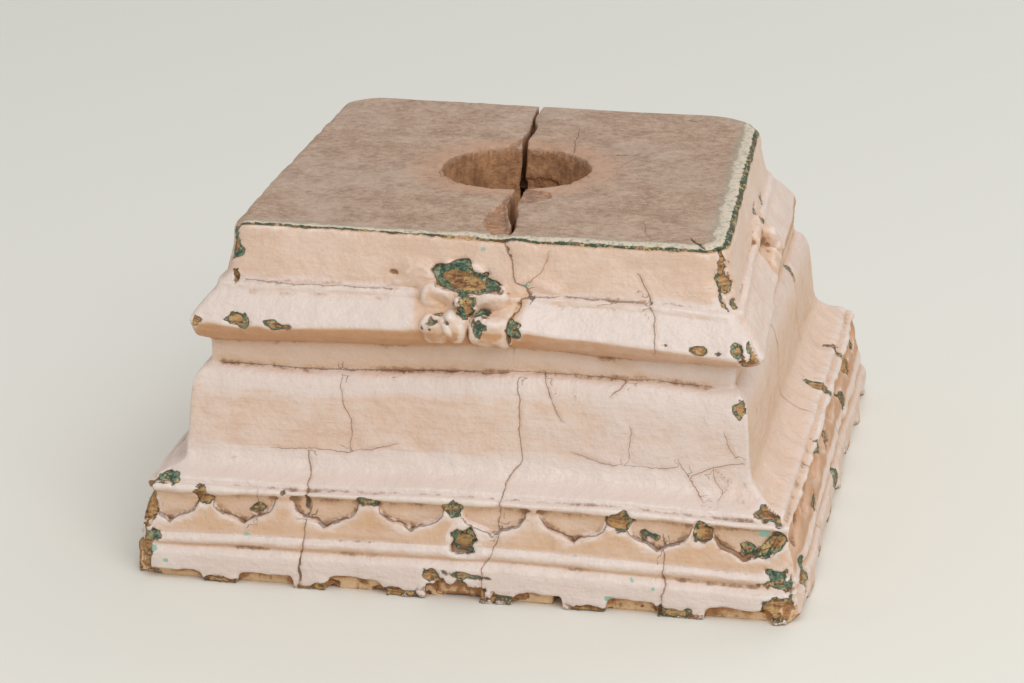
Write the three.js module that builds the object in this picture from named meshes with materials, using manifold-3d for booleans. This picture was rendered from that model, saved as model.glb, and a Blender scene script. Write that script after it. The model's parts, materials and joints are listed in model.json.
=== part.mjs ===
// A square column base carved from one block of hardwood and painted.
// Millimetres, +Z up. The origin is the middle of the underside and the front faces -Y.
import * as THREE from "three";
import { mergeVertices } from "three/addons/utils/BufferGeometryUtils.js";
import Module from "manifold-3d";

// Overall size: the foot is square in plan.
const HALF = 150;
const HEIGHT = 156;

// Mouldings from the floor up. "half" is the distance from the axis to a flat side, "z" a height.
const FOOT = { half: HALF, top: 17.2, ease: 2.2 };
const BEAD = { half: 146.8, middle: 21.4, radius: 3.2 };
const LEAF = { foot: { half: 147, z: 25 }, head: { half: 143.8, z: 42.2 } };
const FILLET = { half: 141.6, foot: 43, head: 46.2 };
const FLARE = {
  foot: { half: 140.4, z: 46.6 },
  hollow: [
    { half: 131, z: 48.2 },
    { half: 127, z: 54.2 },
  ],
  head: { half: 126, z: 67.2 },
};
const SHOULDER = {
  foot: { half: 125.2, z: 78 },
  round: [
    { half: 124.8, z: 87 },
    { half: 122.5, z: 92.8 },
  ],
  head: { half: 118.6, z: 94.2 },
};
const NECK = { half: 117.6, foot: 95, head: 106.6 };
const NOSE = {
  under: { half: 122.5, z: 107.2 },
  lip: { half: 126.4, z: 111 },
  tip: { half: 127.4, z: 118 },
};
const SLOPE = { round: { half: 126, z: 121.4 }, head: { half: 118.8, z: 127 } };
const STEP = { half: 117.8, head: 131 };
const BLOCK = { foot: { half: 114.4, z: 131.8 }, head: { half: 110.8, z: 151.5 }, top: 107 };

// The vertical corners are rounded: the top's are worn unevenly, from the front right round by the back.
const CORNER = { foot: 9, mouldings: 5, top: [15, 26, 18, 9], steps: 4 };

// The block over the neck isn't quite square: its back right corner stands in from the others.
const SKEW = { x: -11, y: -5 };
const PROFILE_STEPS = 6;
const CUT_STEPS = 4;
const BLOB_STEPS = { around: 10, down: 6 };

// Leaf band: upright leaves stand round the base, and the ground between their tips is cut back.
const LEAVES = {
  perSide: 8,
  depth: 3.2,
  headroom: 0.8,
  gap: {
    half: 13.5,
    drop: 12,
    side: 5.2,
    waist: { x: 11.5, y: 7.2 },
    shoulder: { x: 8.4, y: 7.8 },
    curl: { x: 2.7, y: 9.4 },
  },
};

// Scalloped foot: flat arches are cut into its lower edge.
const SCALLOP = { perSide: 7, width: 24, rise: 7, depth: 5, corner: 5 };

// A five-petalled flower lies over the nose in the middle of each side.
const FLOWER = {
  x: -3,
  half: 121.5,
  z: 126,
  lean: THREE.MathUtils.degToRad(24),
  petals: 5,
  reach: 13.5,
  stretch: { x: 1.2, z: 0.95 },
  petal: { length: 10.5, width: 9, thickness: 5.5 },
  bed: 10,
  knob: 6.5,
};

// Round mortise for the tenon under the column, and the split that runs through it from front to back.
const MORTISE = { x: -3, y: -3, radius: 35, depth: 66, sides: 40 };
const SPLIT = {
  depth: 30,
  front: [
    { x: 4, y: -30, width: 5.5 },
    { x: 5, y: -58, width: 6.5 },
    { x: 10, y: -84, width: 4.5 },
    { x: 14, y: -103, width: 1.5 },
  ],
  back: [
    { x: -7, y: 26, width: 3 },
    { x: -9.5, y: 66, width: 3.5 },
    { x: -13, y: HALF, width: 6 },
  ],
};

// Foot corners broken away by wear: how far each side is cut back on the floor and at the bead.
const WORN_CORNERS = [
  { turn: 0, floor: 26, bead: 12 },
  { turn: 3, floor: 16, bead: 9 },
];

const SIDES = 4;
const QUARTER = Math.PI / 2;
const CLEAR = 5; // cutters run past the faces they open by this much
const MERGE = 1e-4;
const PAINT = { color: 0xd9b9a2, roughness: 0.6, metalness: 0 };

const wasm = await Module();
wasm.setup();

function solid(geometry) {
  geometry.deleteAttribute("normal");
  geometry.deleteAttribute("uv");
  const merged = mergeVertices(geometry, MERGE);
  const corners = merged.index.array;
  const triangles = [];
  for (let i = 0; i < corners.length; i += 3) {
    const [a, b, c] = corners.slice(i, i + 3);
    if (a !== b && b !== c && c !== a) triangles.push(a, b, c);
  }
  const vertProperties = merged.attributes.position.array;
  const triVerts = new Uint32Array(triangles);
  return new wasm.Manifold(new wasm.Mesh({ numProp: 3, vertProperties, triVerts }));
}

function meshGeometry(body) {
  const { vertProperties, triVerts } = body.getMesh();
  const geometry = new THREE.BufferGeometry();
  geometry.setAttribute("position", new THREE.BufferAttribute(vertProperties, 3));
  geometry.setIndex(new THREE.BufferAttribute(triVerts, 1));
  geometry.computeVertexNormals();
  return geometry;
}

function curveThrough(path, [first, second], end) {
  path.bezierCurveTo(first.half, first.z, second.half, second.z, end.half, end.z);
}

// The section of one side, from the middle of the underside to the middle of the top.
function sideProfile() {
  const path = new THREE.Path();
  path.moveTo(0, 0);
  path.lineTo(FOOT.half, 0);
  path.lineTo(FOOT.half, FOOT.top - FOOT.ease);
  path.quadraticCurveTo(FOOT.half, FOOT.top, FOOT.half - FOOT.ease, FOOT.top);
  path.lineTo(BEAD.half, BEAD.middle - BEAD.radius);
  path.absarc(BEAD.half, BEAD.middle, BEAD.radius, -QUARTER, QUARTER);
  path.lineTo(LEAF.foot.half, LEAF.foot.z);
  path.lineTo(LEAF.head.half, LEAF.head.z);
  path.lineTo(FILLET.half, FILLET.foot);
  path.lineTo(FILLET.half, FILLET.head);
  path.lineTo(FLARE.foot.half, FLARE.foot.z);
  curveThrough(path, FLARE.hollow, FLARE.head);
  path.lineTo(SHOULDER.foot.half, SHOULDER.foot.z);
  curveThrough(path, SHOULDER.round, SHOULDER.head);
  path.lineTo(NECK.half, NECK.foot);
  path.lineTo(NECK.half, NECK.head);
  path.lineTo(NOSE.under.half, NOSE.under.z);
  path.quadraticCurveTo(NOSE.lip.half, NOSE.under.z, NOSE.lip.half, NOSE.lip.z);
  path.lineTo(NOSE.tip.half, NOSE.tip.z);
  path.quadraticCurveTo(SLOPE.round.half, SLOPE.round.z, SLOPE.head.half, SLOPE.head.z);
  path.lineTo(STEP.half, STEP.head);
  path.lineTo(BLOCK.foot.half, BLOCK.foot.z);
  path.lineTo(BLOCK.head.half, BLOCK.head.z);
  path.quadraticCurveTo(BLOCK.head.half, HEIGHT, BLOCK.top, HEIGHT);
  path.lineTo(0, HEIGHT);
  return path.getPoints(PROFILE_STEPS);
}

function cornerRadius(height, corner) {
  if (height < FOOT.top) return CORNER.foot;
  if (height < BLOCK.foot.z) return CORNER.mouldings;
  return THREE.MathUtils.mapLinear(height, BLOCK.foot.z, HEIGHT, CORNER.mouldings, CORNER.top[corner]);
}

// The profile turned round the axis, with each round ring drawn out to a square with rounded corners.
function mouldedBlock() {
  const profile = sideProfile();
  const perCorner = CORNER.steps + 1;
  const geometry = new THREE.LatheGeometry(profile, SIDES * perCorner);
  const position = geometry.attributes.position;
  for (let i = 0; i < position.count; i++) {
    const { x: half, y: height } = profile[i % profile.length];
    const turn = Math.floor(i / profile.length) % (SIDES * perCorner);
    const corner = Math.floor(turn / perCorner);
    const radius = Math.min(half, cornerRadius(height, corner));
    const diagonal = (corner + 0.5) * QUARTER;
    const angle = (corner + (turn % perCorner) / CORNER.steps) * QUARTER;
    const across = (half - radius) * Math.sign(Math.sin(diagonal)) + radius * Math.sin(angle);
    const along = (half - radius) * Math.sign(Math.cos(diagonal)) + radius * Math.cos(angle);
    position.setXYZ(i, across, height, along);
  }
  return solid(geometry.rotateX(QUARTER));
}

// A flat shape set upright on the front, reaching outwards from its own face at y = 0.
function upright(shape, depth) {
  const geometry = new THREE.ExtrudeGeometry(shape, { depth, bevelEnabled: false, curveSegments: CUT_STEPS });
  return geometry.rotateX(QUARTER);
}

// The ground between two leaves: flat along the top, stepped in at shoulders, pointed below.
function leafGapShape() {
  const { half, drop, side, waist, shoulder, curl } = LEAVES.gap;
  const shape = new THREE.Shape();
  shape.moveTo(-half, 0);
  shape.bezierCurveTo(-half, -side, -waist.x, -waist.y, -shoulder.x, -shoulder.y);
  shape.quadraticCurveTo(-curl.x, -curl.y, 0, -drop);
  shape.quadraticCurveTo(curl.x, -curl.y, shoulder.x, -shoulder.y);
  shape.bezierCurveTo(waist.x, -waist.y, half, -side, half, 0);
  return shape;
}

function leafGaps() {
  const lean = Math.atan2(LEAF.foot.half - LEAF.head.half, LEAF.head.z - LEAF.foot.z);
  const pitch = (2 * LEAF.head.half) / LEAVES.perSide;
  const shape = leafGapShape();
  return Array.from({ length: LEAVES.perSide }, (_, i) => {
    const x = (i + 0.5 - LEAVES.perSide / 2) * pitch;
    const cutter = upright(shape, LEAVES.depth + CLEAR).rotateX(-lean);
    return solid(cutter.translate(x, LEAVES.depth - LEAF.head.half, LEAF.head.z - LEAVES.headroom));
  });
}

function scallops() {
  const half = SCALLOP.width / 2;
  const shape = new THREE.Shape();
  shape.moveTo(-half, -CLEAR);
  shape.lineTo(-half, SCALLOP.rise - SCALLOP.corner);
  shape.quadraticCurveTo(-half, SCALLOP.rise, -half + SCALLOP.corner, SCALLOP.rise);
  shape.lineTo(half - SCALLOP.corner, SCALLOP.rise);
  shape.quadraticCurveTo(half, SCALLOP.rise, half, SCALLOP.rise - SCALLOP.corner);
  shape.lineTo(half, -CLEAR);
  const pitch = (2 * FOOT.half) / SCALLOP.perSide;
  return Array.from({ length: SCALLOP.perSide }, (_, i) => {
    const x = (i - (SCALLOP.perSide - 1) / 2) * pitch;
    return solid(upright(shape, SCALLOP.depth + CLEAR).translate(x, SCALLOP.depth - FOOT.half, 0));
  });
}

function blob(width, thickness, length) {
  return new THREE.SphereGeometry(1, BLOB_STEPS.around, BLOB_STEPS.down).scale(width, thickness, length);
}

function flower() {
  const { petal, bed, knob } = FLOWER;
  const eye = blob(knob, knob, knob).translate(0, -petal.thickness / 2, 0);
  const blobs = [blob(bed, petal.thickness, bed), eye];
  for (let i = 0; i < FLOWER.petals; i++) {
    const blade = blob(petal.width, petal.thickness, petal.length).translate(0, 0, FLOWER.reach);
    blobs.push(blade.rotateY((i * 2 * Math.PI) / FLOWER.petals));
  }
  return blobs.map((geometry) => {
    geometry.scale(FLOWER.stretch.x, 1, FLOWER.stretch.z).rotateX(-FLOWER.lean);
    return solid(geometry.translate(FLOWER.x, -FLOWER.half, FLOWER.z));
  });
}

// A crack seen from above, as wide at each point as its list says.
function split(points) {
  const left = points.map(({ x, y, width }) => new THREE.Vector2(x - width / 2, y));
  const right = points.map(({ x, y, width }) => new THREE.Vector2(x + width / 2, y));
  const shape = new THREE.Shape([...left, ...right.reverse()]);
  const geometry = new THREE.ExtrudeGeometry(shape, { depth: SPLIT.depth + CLEAR, bevelEnabled: false });
  return solid(geometry.translate(0, 0, HEIGHT - SPLIT.depth));
}

function mortise() {
  const { x, y, radius, depth, sides } = MORTISE;
  const bore = new THREE.CylinderGeometry(radius, radius, depth + CLEAR, sides).rotateX(QUARTER);
  return solid(bore.translate(x, y, HEIGHT - depth + (depth + CLEAR) / 2));
}

// A sloping slab that takes the foot's front right corner off, before it is turned to its own corner.
function wornCorner({ floor, bead }) {
  const size = 2 * floor;
  const slope = Math.atan2((floor - bead) / Math.SQRT2, BEAD.middle);
  const slab = new THREE.BoxGeometry(2 * size, size, 2 * size).translate(0, -size / 2, 0);
  slab.rotateX(slope).rotateZ(QUARTER / 2);
  return slab.translate(FOOT.half - floor / 2, -FOOT.half + floor / 2, 0);
}

// Draws the block over the neck in towards its back right corner.
function skewed(geometry) {
  const position = geometry.attributes.position;
  for (let i = 0; i < position.count; i++) {
    const height = position.getZ(i);
    const share = THREE.MathUtils.smoothstep(height, NECK.foot, NOSE.tip.z);
    const right = 0.5 + position.getX(i) / (2 * BLOCK.top);
    const back = 0.5 + position.getY(i) / (2 * BLOCK.top);
    const pull = share * right * back;
    position.setXYZ(i, position.getX(i) + SKEW.x * pull, position.getY(i) + SKEW.y * pull, height);
  }
  return geometry;
}

function onEverySide(pieces) {
  const turns = Array.from({ length: SIDES }, (_, side) => side * 90);
  return turns.flatMap((turn) => pieces.map((piece) => piece.rotate([0, 0, turn])));
}

function columnBase() {
  let body = mouldedBlock();
  for (const cutter of onEverySide([...leafGaps(), ...scallops()])) body = body.subtract(cutter);
  for (const petal of onEverySide(flower())) body = body.add(petal);
  body = solid(skewed(meshGeometry(body)));
  body = body.subtract(mortise()).subtract(split(SPLIT.front)).subtract(split(SPLIT.back));
  for (const corner of WORN_CORNERS) {
    body = body.subtract(solid(wornCorner(corner).rotateZ(corner.turn * QUARTER)));
  }
  const mesh = new THREE.Mesh(meshGeometry(body), new THREE.MeshStandardMaterial(PAINT));
  mesh.name = "column_base";
  return mesh;
}

const base = new THREE.Group();
base.add(columnBase());

export default base;
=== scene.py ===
"""A weathered, carved and painted wooden column base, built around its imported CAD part.

It is a square moulded block with a scalloped foot, a band of leaves, a flower on each side,
a bare end-grain top with a round mortise, and a long split that runs through the mortise.
"""

import json
import math

import bpy
import numpy as np
from mathutils import Matrix, Vector

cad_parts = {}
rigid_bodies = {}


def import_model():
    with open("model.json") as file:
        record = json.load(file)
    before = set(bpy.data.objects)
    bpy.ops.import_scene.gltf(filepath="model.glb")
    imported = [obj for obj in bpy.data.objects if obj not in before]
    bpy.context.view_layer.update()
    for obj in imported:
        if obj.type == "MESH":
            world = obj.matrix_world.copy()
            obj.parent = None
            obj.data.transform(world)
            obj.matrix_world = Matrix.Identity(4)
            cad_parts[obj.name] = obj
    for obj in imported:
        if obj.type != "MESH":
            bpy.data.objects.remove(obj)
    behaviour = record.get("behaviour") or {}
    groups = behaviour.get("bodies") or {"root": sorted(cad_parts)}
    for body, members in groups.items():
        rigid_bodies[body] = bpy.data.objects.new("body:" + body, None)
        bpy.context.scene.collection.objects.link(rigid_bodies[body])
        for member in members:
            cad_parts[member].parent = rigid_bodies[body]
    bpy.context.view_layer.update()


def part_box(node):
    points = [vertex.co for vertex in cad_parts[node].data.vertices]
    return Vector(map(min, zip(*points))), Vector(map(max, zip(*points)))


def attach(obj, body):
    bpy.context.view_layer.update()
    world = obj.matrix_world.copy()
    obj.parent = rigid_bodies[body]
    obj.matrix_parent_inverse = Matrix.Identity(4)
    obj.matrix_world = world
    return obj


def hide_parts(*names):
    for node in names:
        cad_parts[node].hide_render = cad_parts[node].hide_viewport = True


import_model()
NODE_LOW, NODE_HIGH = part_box("column_base")

bl_info = {
    "name": "Carved column base",
    "version": (1, 0, 0),
    "blender": (4, 5, 0),
    "location": "View3D > Sidebar > Column base",
    "description": "Models and finishes a weathered wooden column base",
    "category": "Object",
}

MM = 0.001
SEED = 1907

# The foot's half width and the height come from the CAD node's box, in millimetres.
FOOT_HALF = round((NODE_HIGH[0] - NODE_LOW[0]) / 2.0 / MM, 1)
TOP_Z = round(NODE_HIGH[2] / MM, 1)

# The mouldings from the floor up, as (half width, height) in millimetres.
FOOT_EDGE = [
    (FOOT_HALF, 0.0), (FOOT_HALF, 13.2), (149.6, 14.8), (148.6, 15.8), (147.9, 16.4), (146.9, 17.2),
    (146.7, 18.0),
]
BEAD = {"half": 145.6, "middle": 21.2, "radius": 2.7}
LEAF_BAND = [(145.2, 24.8), (146.6, 25.4), (143.6, 41.6)]
FILLET = [(142.0, 42.0), (144.4, 42.7), (144.3, 44.4), (143.2, 45.0), (140.6, 45.0)]
RISER = [(140.4, 45.8), (140.2, 47.2)]
FLARE = [(138.6, 48.0), (131.0, 49.4), (127.0, 52.4), (126.2, 63.5)]
SHOULDER = [(125.2, 78.0), (124.8, 86.8), (122.5, 92.6), (118.6, 94.0)]
NECK = [(117.4, 94.8), (117.8, 106.6)]
NOSE = [(119.6, 107.0), (123.2, 108.6), (125.9, 111.6), (127.2, 114.4), (127.6, 115.8), (127.2, 116.8)]
SLOPE = [(124.9, 119.8), (121.9, 123.6), (119.5, 126.2), (118.5, 127.0)]
STEP = [(117.8, 127.8), (117.5, 130.4), (116.6, 131.2), (114.6, 131.6)]
BLOCK = [(113.4, 137.0), (111.4, 146.0), (110.8, 151.8), (110.1, 154.2), (108.8, 155.4), (107.0, TOP_Z)]


def bezier(points, steps):
    """Stations along a cubic curve, without its first point."""
    a, b, c, d = (np.array(p) for p in points)
    stations = []
    for i in range(1, steps + 1):
        t = i / steps
        s = 1.0 - t
        stations.append(tuple(a * s**3 + b * 3 * s * s * t + c * 3 * s * t * t + d * t**3))
    return stations


def bead_stations(steps=7):
    """Stations up the half-round bead above the foot."""
    angles = np.linspace(-0.5, 0.5, steps) * math.pi
    return [
        (BEAD["half"] + BEAD["radius"] * math.cos(a), BEAD["middle"] + BEAD["radius"] * math.sin(a))
        for a in angles
    ]


def stations():
    """All stations of the side, as (half width, height)."""
    return [
        *FOOT_EDGE,
        *bead_stations(),
        *LEAF_BAND,
        *FILLET,
        *RISER,
        *bezier(FLARE, 10),
        SHOULDER[0],
        *bezier(SHOULDER, 8),
        *NECK,
        *NOSE,
        *SLOPE,
        *STEP,
        *BLOCK,
    ]


# Noise and small array helpers.


def hashed(cells, seed):
    """A repeatable value from 0 to 1 for each whole-number cell."""
    n = cells[..., 0] * 73856093 ^ cells[..., 1] * 19349663 ^ cells[..., 2] * 83492791
    n = (n + seed * 1013904223) & 0x7FFFFFFF
    n = ((n >> 13) ^ n) * 1274126177 & 0x7FFFFFFF
    n = ((n >> 16) ^ n) * 1103515245 & 0x7FFFFFFF
    return ((n >> 7) & 0xFFFF) / 65535.0


def noise(points, size, seed):
    """Smooth noise from -1 to 1 with lumps of the given size, in millimetres."""
    q = points / np.asarray(size, float)
    cell = np.floor(q).astype(np.int64)
    f = q - cell
    f = f * f * f * (f * (f * 6.0 - 15.0) + 10.0)
    total = np.zeros(len(points))
    for corner in np.ndindex(2, 2, 2):
        weight = np.ones(len(points))
        for axis in range(3):
            weight *= f[:, axis] if corner[axis] else 1.0 - f[:, axis]
        total += weight * hashed(cell + np.array(corner), seed)
    return total * 2.0 - 1.0


def layered(points, size, seed, octaves=3, fade=0.5):
    """Noise with finer and weaker layers added."""
    total = np.zeros(len(points))
    weight = 1.0
    step = np.asarray(size, float)
    for octave in range(octaves):
        total += weight * noise(points, step, seed + 17 * octave)
        weight *= fade
        step = step * 0.5
    return total


def smooth(low, high, values):
    """A soft step from 0 at low to 1 at high."""
    t = np.clip((values - low) / (high - low), 0.0, 1.0)
    return t * t * (3.0 - 2.0 * t)


def zone(values, start, full, ease, end):
    """Rises from 0 at start to 1 at full, and falls from 1 at ease to 0 at end."""
    return smooth(start, full, values) * (1.0 - smooth(ease, end, values))


def turned(points, turns):
    """Points turned by quarter turns about the upright axis."""
    c = (1, 0, -1, 0)[turns % 4]
    s = (0, 1, 0, -1)[turns % 4]
    out = points.copy()
    out[:, 0] = c * points[:, 0] - s * points[:, 1]
    out[:, 1] = s * points[:, 0] + c * points[:, 1]
    return out


def side_of(points):
    """Which side each point is on: 0 front, 1 right, 2 back, 3 left."""
    x, y = points[:, 0], points[:, 1]
    return np.where(np.abs(y) >= np.abs(x), np.where(y < 0, 0, 2), np.where(x > 0, 1, 3))


def get_points(obj):
    """The mesh's points in millimetres."""
    flat = np.empty(len(obj.data.vertices) * 3, np.float32)
    obj.data.vertices.foreach_get("co", flat)
    return flat.reshape(-1, 3).astype(float) / MM


def set_points(obj, points):
    """Puts points given in millimetres back on the mesh."""
    obj.data.vertices.foreach_set("co", (points * MM).astype(np.float32).ravel())
    obj.data.update()


def get_normals(obj):
    """The mesh's point normals."""
    flat = np.empty(len(obj.data.vertices) * 3, np.float32)
    obj.data.vertices.foreach_get("normal", flat)
    return flat.reshape(-1, 3).astype(float)


def get_edges(obj):
    """The two ends of each edge."""
    flat = np.empty(len(obj.data.edges) * 2, np.int32)
    obj.data.edges.foreach_get("vertices", flat)
    return flat.reshape(-1, 2)


def averaged(values, edges, rounds):
    """Values averaged with their neighbours along edges."""
    count = len(values)
    degree = np.maximum(np.bincount(edges.ravel(), minlength=count), 1)
    a, b = edges[:, 0], edges[:, 1]
    for _ in range(rounds):
        total = np.bincount(a, weights=values[b], minlength=count)
        total += np.bincount(b, weights=values[a], minlength=count)
        values = 0.5 * values + 0.5 * total / degree
    return values


def only(obj):
    """Selects one object and makes it active."""
    bpy.ops.object.select_all(action="DESELECT")
    obj.select_set(True)
    bpy.context.view_layer.objects.active = obj


def joined(objects):
    """Joins objects into the first one."""
    bpy.ops.object.select_all(action="DESELECT")
    for obj in objects:
        obj.select_set(True)
    bpy.context.view_layer.objects.active = objects[0]
    if len(objects) > 1:
        bpy.ops.object.join()
    return bpy.context.view_layer.objects.active


def applied(obj, kind, **settings):
    """Adds one modifier and applies it."""
    only(obj)
    modifier = obj.modifiers.new(kind.title(), kind)
    for name, value in settings.items():
        setattr(modifier, name, value)
    bpy.ops.object.modifier_apply(modifier=modifier.name)


# The carved block.


def moulded_block():
    """The square block with its mouldings, extruded and drawn in from the foot up."""
    levels = stations()
    half, height = levels[0]
    bpy.ops.object.select_all(action="DESELECT")
    bpy.ops.mesh.primitive_plane_add(size=2.0 * half * MM)
    block = bpy.context.object
    block.name = "carved_column_base"
    bpy.ops.object.mode_set(mode="EDIT")
    bpy.ops.mesh.select_all(action="SELECT")
    for next_half, next_height in levels[1:]:
        lift = (0.0, 0.0, (next_height - height) * MM)
        bpy.ops.mesh.extrude_region_move(TRANSFORM_OT_translate={"value": lift})
        scale = next_half / half
        bpy.ops.transform.resize(value=(scale, scale, 1.0), center_override=(0.0, 0.0, 0.0))
        half, height = next_half, next_height
    bpy.ops.mesh.select_all(action="SELECT")
    bpy.ops.mesh.normals_make_consistent(inside=False)
    bpy.ops.object.mode_set(mode="OBJECT")
    return block


def prism(outline, reach):
    """A closed prism: an outline of (x, y, z) points in millimetres, extruded by reach."""
    bpy.ops.object.select_all(action="DESELECT")
    bpy.ops.mesh.primitive_circle_add(vertices=len(outline), fill_type="NGON")
    cutter = bpy.context.object
    set_points(cutter, np.array(outline, float))
    bpy.ops.object.mode_set(mode="EDIT")
    bpy.ops.mesh.select_all(action="SELECT")
    bpy.ops.mesh.extrude_region_move(TRANSFORM_OT_translate={"value": tuple(np.array(reach) * MM)})
    bpy.ops.mesh.select_all(action="SELECT")
    bpy.ops.mesh.normals_make_consistent(inside=False)
    bpy.ops.object.mode_set(mode="OBJECT")
    return cutter


def side_prism(outline, floor, reach, side):
    """A prism cut into a side: an outline of (across, up), its inner face at floor from the middle."""
    across, up = np.array(outline, float).T
    inner = np.column_stack([across, np.broadcast_to(-floor, across.shape), up])
    way = turned(np.array([(0.0, -reach, 0.0)]), side)[0]
    return prism(turned(inner, side), way)


# Hollows between leaves on the front: middle and half width.
LEAF_HOLLOWS_FRONT = [
    (-133, 13.4), (-99.5, 13.8), (-61.5, 14.4), (-23, 14.6),
    (13.5, 14), (49, 14.2), (86.5, 13.8), (124, 13.8),
]
LEAF_HOLLOW_HEAD = 41.4
LEAF_HOLLOW_DEPTH = 1.3
LEAF_HOLLOW_LEAN = 0.21

# Notches under the front of the foot: middle, half width, rise, and the radius of each upper corner.
SCALLOPS_FRONT = [
    (-134.5, 17, 5.6, 2, 4.6), (-89, 12.4, 6.2, 3, 1.6), (-47, 13, 7.2, 3, 6.4),
    (-4, 11.8, 7.2, 2.5, 3), (33.9, 11.3, 6.2, 5.4, 1.6), (75.5, 11, 6.8, 3, 2), (122.4, 14.5, 6.2, 4, 5),
]
SCALLOP_DEPTH = 5.0
SCALLOP_PLACES_OTHER = np.linspace(-129.0, 129.0, 7)
SCALLOP_RANGES_OTHER = [(11.5, 13.8), (5.6, 7.4), (1.6, 5.0), (1.6, 5.0)]
DEEP_NOTCH = [(39.5, -3.0), (40.0, 4.2), (42.5, 5.4), (45.4, 5.0), (46.0, -3.0)]
DEEP_NOTCH_DEPTH = 13.0
DEEP_NOTCH_REACH = 24.0
CUT_REACH = 14.0


def leaf_hollow_outline(middle, half):
    """The ground between two leaves: it narrows round the leaves' heads, steps in and ends in a point."""
    right = [
        (1.36, 0.5), (1.14, -0.5), (1.01, -1.8), (0.94, -4.2), (0.83, -6.2),
        (0.62, -7.5), (0.34, -8.7), (0.12, -10.1), (0.0, -11.6),
    ]
    shape = right + [(-a, u) for a, u in reversed(right[:-1])]
    return [(middle + a * half, LEAF_HOLLOW_HEAD + u) for a, u in shape]


def leaf_face(up):
    """How far from the middle the face of the leaves lies."""
    (_, _), (foot_half, foot_up), (head_half, head_up) = LEAF_BAND
    return foot_half + (up - foot_up) * (head_half - foot_half) / (head_up - foot_up)


def leaf_hollow_floor(up):
    """How far from the middle the ground between leaves lies: deeper towards its point."""
    return leaf_face(up) - LEAF_HOLLOW_DEPTH - (LEAF_HOLLOW_HEAD - up) * LEAF_HOLLOW_LEAN


def scallop_outline(middle, half, rise, left, right):
    """The notch under the foot, with rounded upper corners."""
    shape = [(-half - 0.8, -3.0), (-half, rise - left)]
    for t in (0.25, 0.5, 0.75, 1.0):
        a = t * math.pi / 2
        shape.append((-half + left * (1 - math.cos(a)), rise - left * (1 - math.sin(a))))
    shape += [(-half * 0.3, rise + 0.4), (half * 0.3, rise - 0.3)]
    for t in (1.0, 0.75, 0.5, 0.25):
        a = t * math.pi / 2
        shape.append((half - right * (1 - math.cos(a)), rise - right * (1 - math.sin(a))))
    shape += [(half, rise - right), (half + 0.8, -3.0)]
    return [(middle + a, u) for a, u in shape]


def other_hollows(rng):
    """The hollows between leaves on a side other than the front, spaced evenly with random shifts."""
    return [(-126.0 + 36.0 * i + rng.uniform(-2, 2), rng.uniform(13.2, 14.6)) for i in range(8)]


def other_scallops(rng):
    """The notches under a side other than the front, spaced evenly and cut to random sizes."""
    notches = []
    for place in SCALLOP_PLACES_OTHER:
        middle = place + rng.uniform(-2.5, 2.5)
        notches.append((middle, *(rng.uniform(low, high) for low, high in SCALLOP_RANGES_OTHER)))
    return notches


def side_cutters(rng):
    """The hollows between leaves and the notches under the foot, on all four sides."""
    cutters = [side_prism(DEEP_NOTCH, FOOT_HALF - DEEP_NOTCH_DEPTH, DEEP_NOTCH_REACH, 0)]
    for side in range(4):
        hollows = other_hollows(rng) if side else LEAF_HOLLOWS_FRONT
        notches = other_scallops(rng) if side else SCALLOPS_FRONT
        for hollow in hollows:
            outline = np.array(leaf_hollow_outline(*hollow))
            cutters.append(side_prism(outline, leaf_hollow_floor(outline[:, 1]), CUT_REACH, side))
        for notch in notches:
            cutters.append(side_prism(scallop_outline(*notch), FOOT_HALF - SCALLOP_DEPTH, CUT_REACH, side))
    return cutters


# The split in plan: each stretch as points of (x, y, half width), and its depth.
SPLITS = [
    ([(5, -30, 2.4), (5.5, -58, 2.6), (9, -74, 2.4), (13, -92, 1.5), (14.2, -112, 0.8)], 26.0),
    ([(-4.4, 26, 1.3), (-8, 44, 1.5), (-8, 66, 1.5), (-11.4, 84, 1.0), (-12, 120, 1.2)], 60.0),
    ([(-12, 106, 1.2), (-12.4, 120, 5.0)], 5.0),
]
SPLIT_NARROWING = 0.45

# The mortise: its middle in plan, radius and depth.
MORTISE = {"x": -3.0, "y": -3.0, "radius": 35.0, "depth": 66.0}


def split_cutter(path, depth):
    """An upright sheet along a path, wider at its mouth."""
    left = [(x - w, y, TOP_Z + 2.0) for x, y, w in path]
    right = [(x + w, y, TOP_Z + 2.0) for x, y, w in reversed(path)]
    cutter = prism(left + right, (0.0, 0.0, -depth))
    points = get_points(cutter)
    xs = np.interp(points[:, 1], *zip(*sorted((y, x) for x, y, _ in path)))
    low = points[:, 2] < TOP_Z - 2.0
    points[low, 0] = xs[low] + (points[low, 0] - xs[low]) * SPLIT_NARROWING
    set_points(cutter, before_skew(points))
    return cutter


def mortise_cutter(sizes):
    """The round hole in the top."""
    depth = sizes.mortise_depth + 0.008
    place = (*sizes.mortise_place, TOP_Z * MM - sizes.mortise_depth + depth / 2)
    bpy.ops.object.select_all(action="DESELECT")
    bpy.ops.mesh.primitive_cylinder_add(
        vertices=96, radius=sizes.mortise_radius, depth=depth, location=place
    )
    cutter = bpy.context.object
    bpy.ops.object.transform_apply(location=True, rotation=True, scale=True)
    set_points(cutter, before_skew(get_points(cutter)))
    return cutter


def carved(block, cutters):
    """Cuts all cutters out of the block."""
    cutter = joined(cutters)
    applied(block, "BOOLEAN", operation="DIFFERENCE", solver="EXACT", object=cutter, use_self=True)
    bpy.data.objects.remove(cutter)
    if not block.data.polygons:
        raise RuntimeError("Nothing was left of the block after carving")


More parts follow.
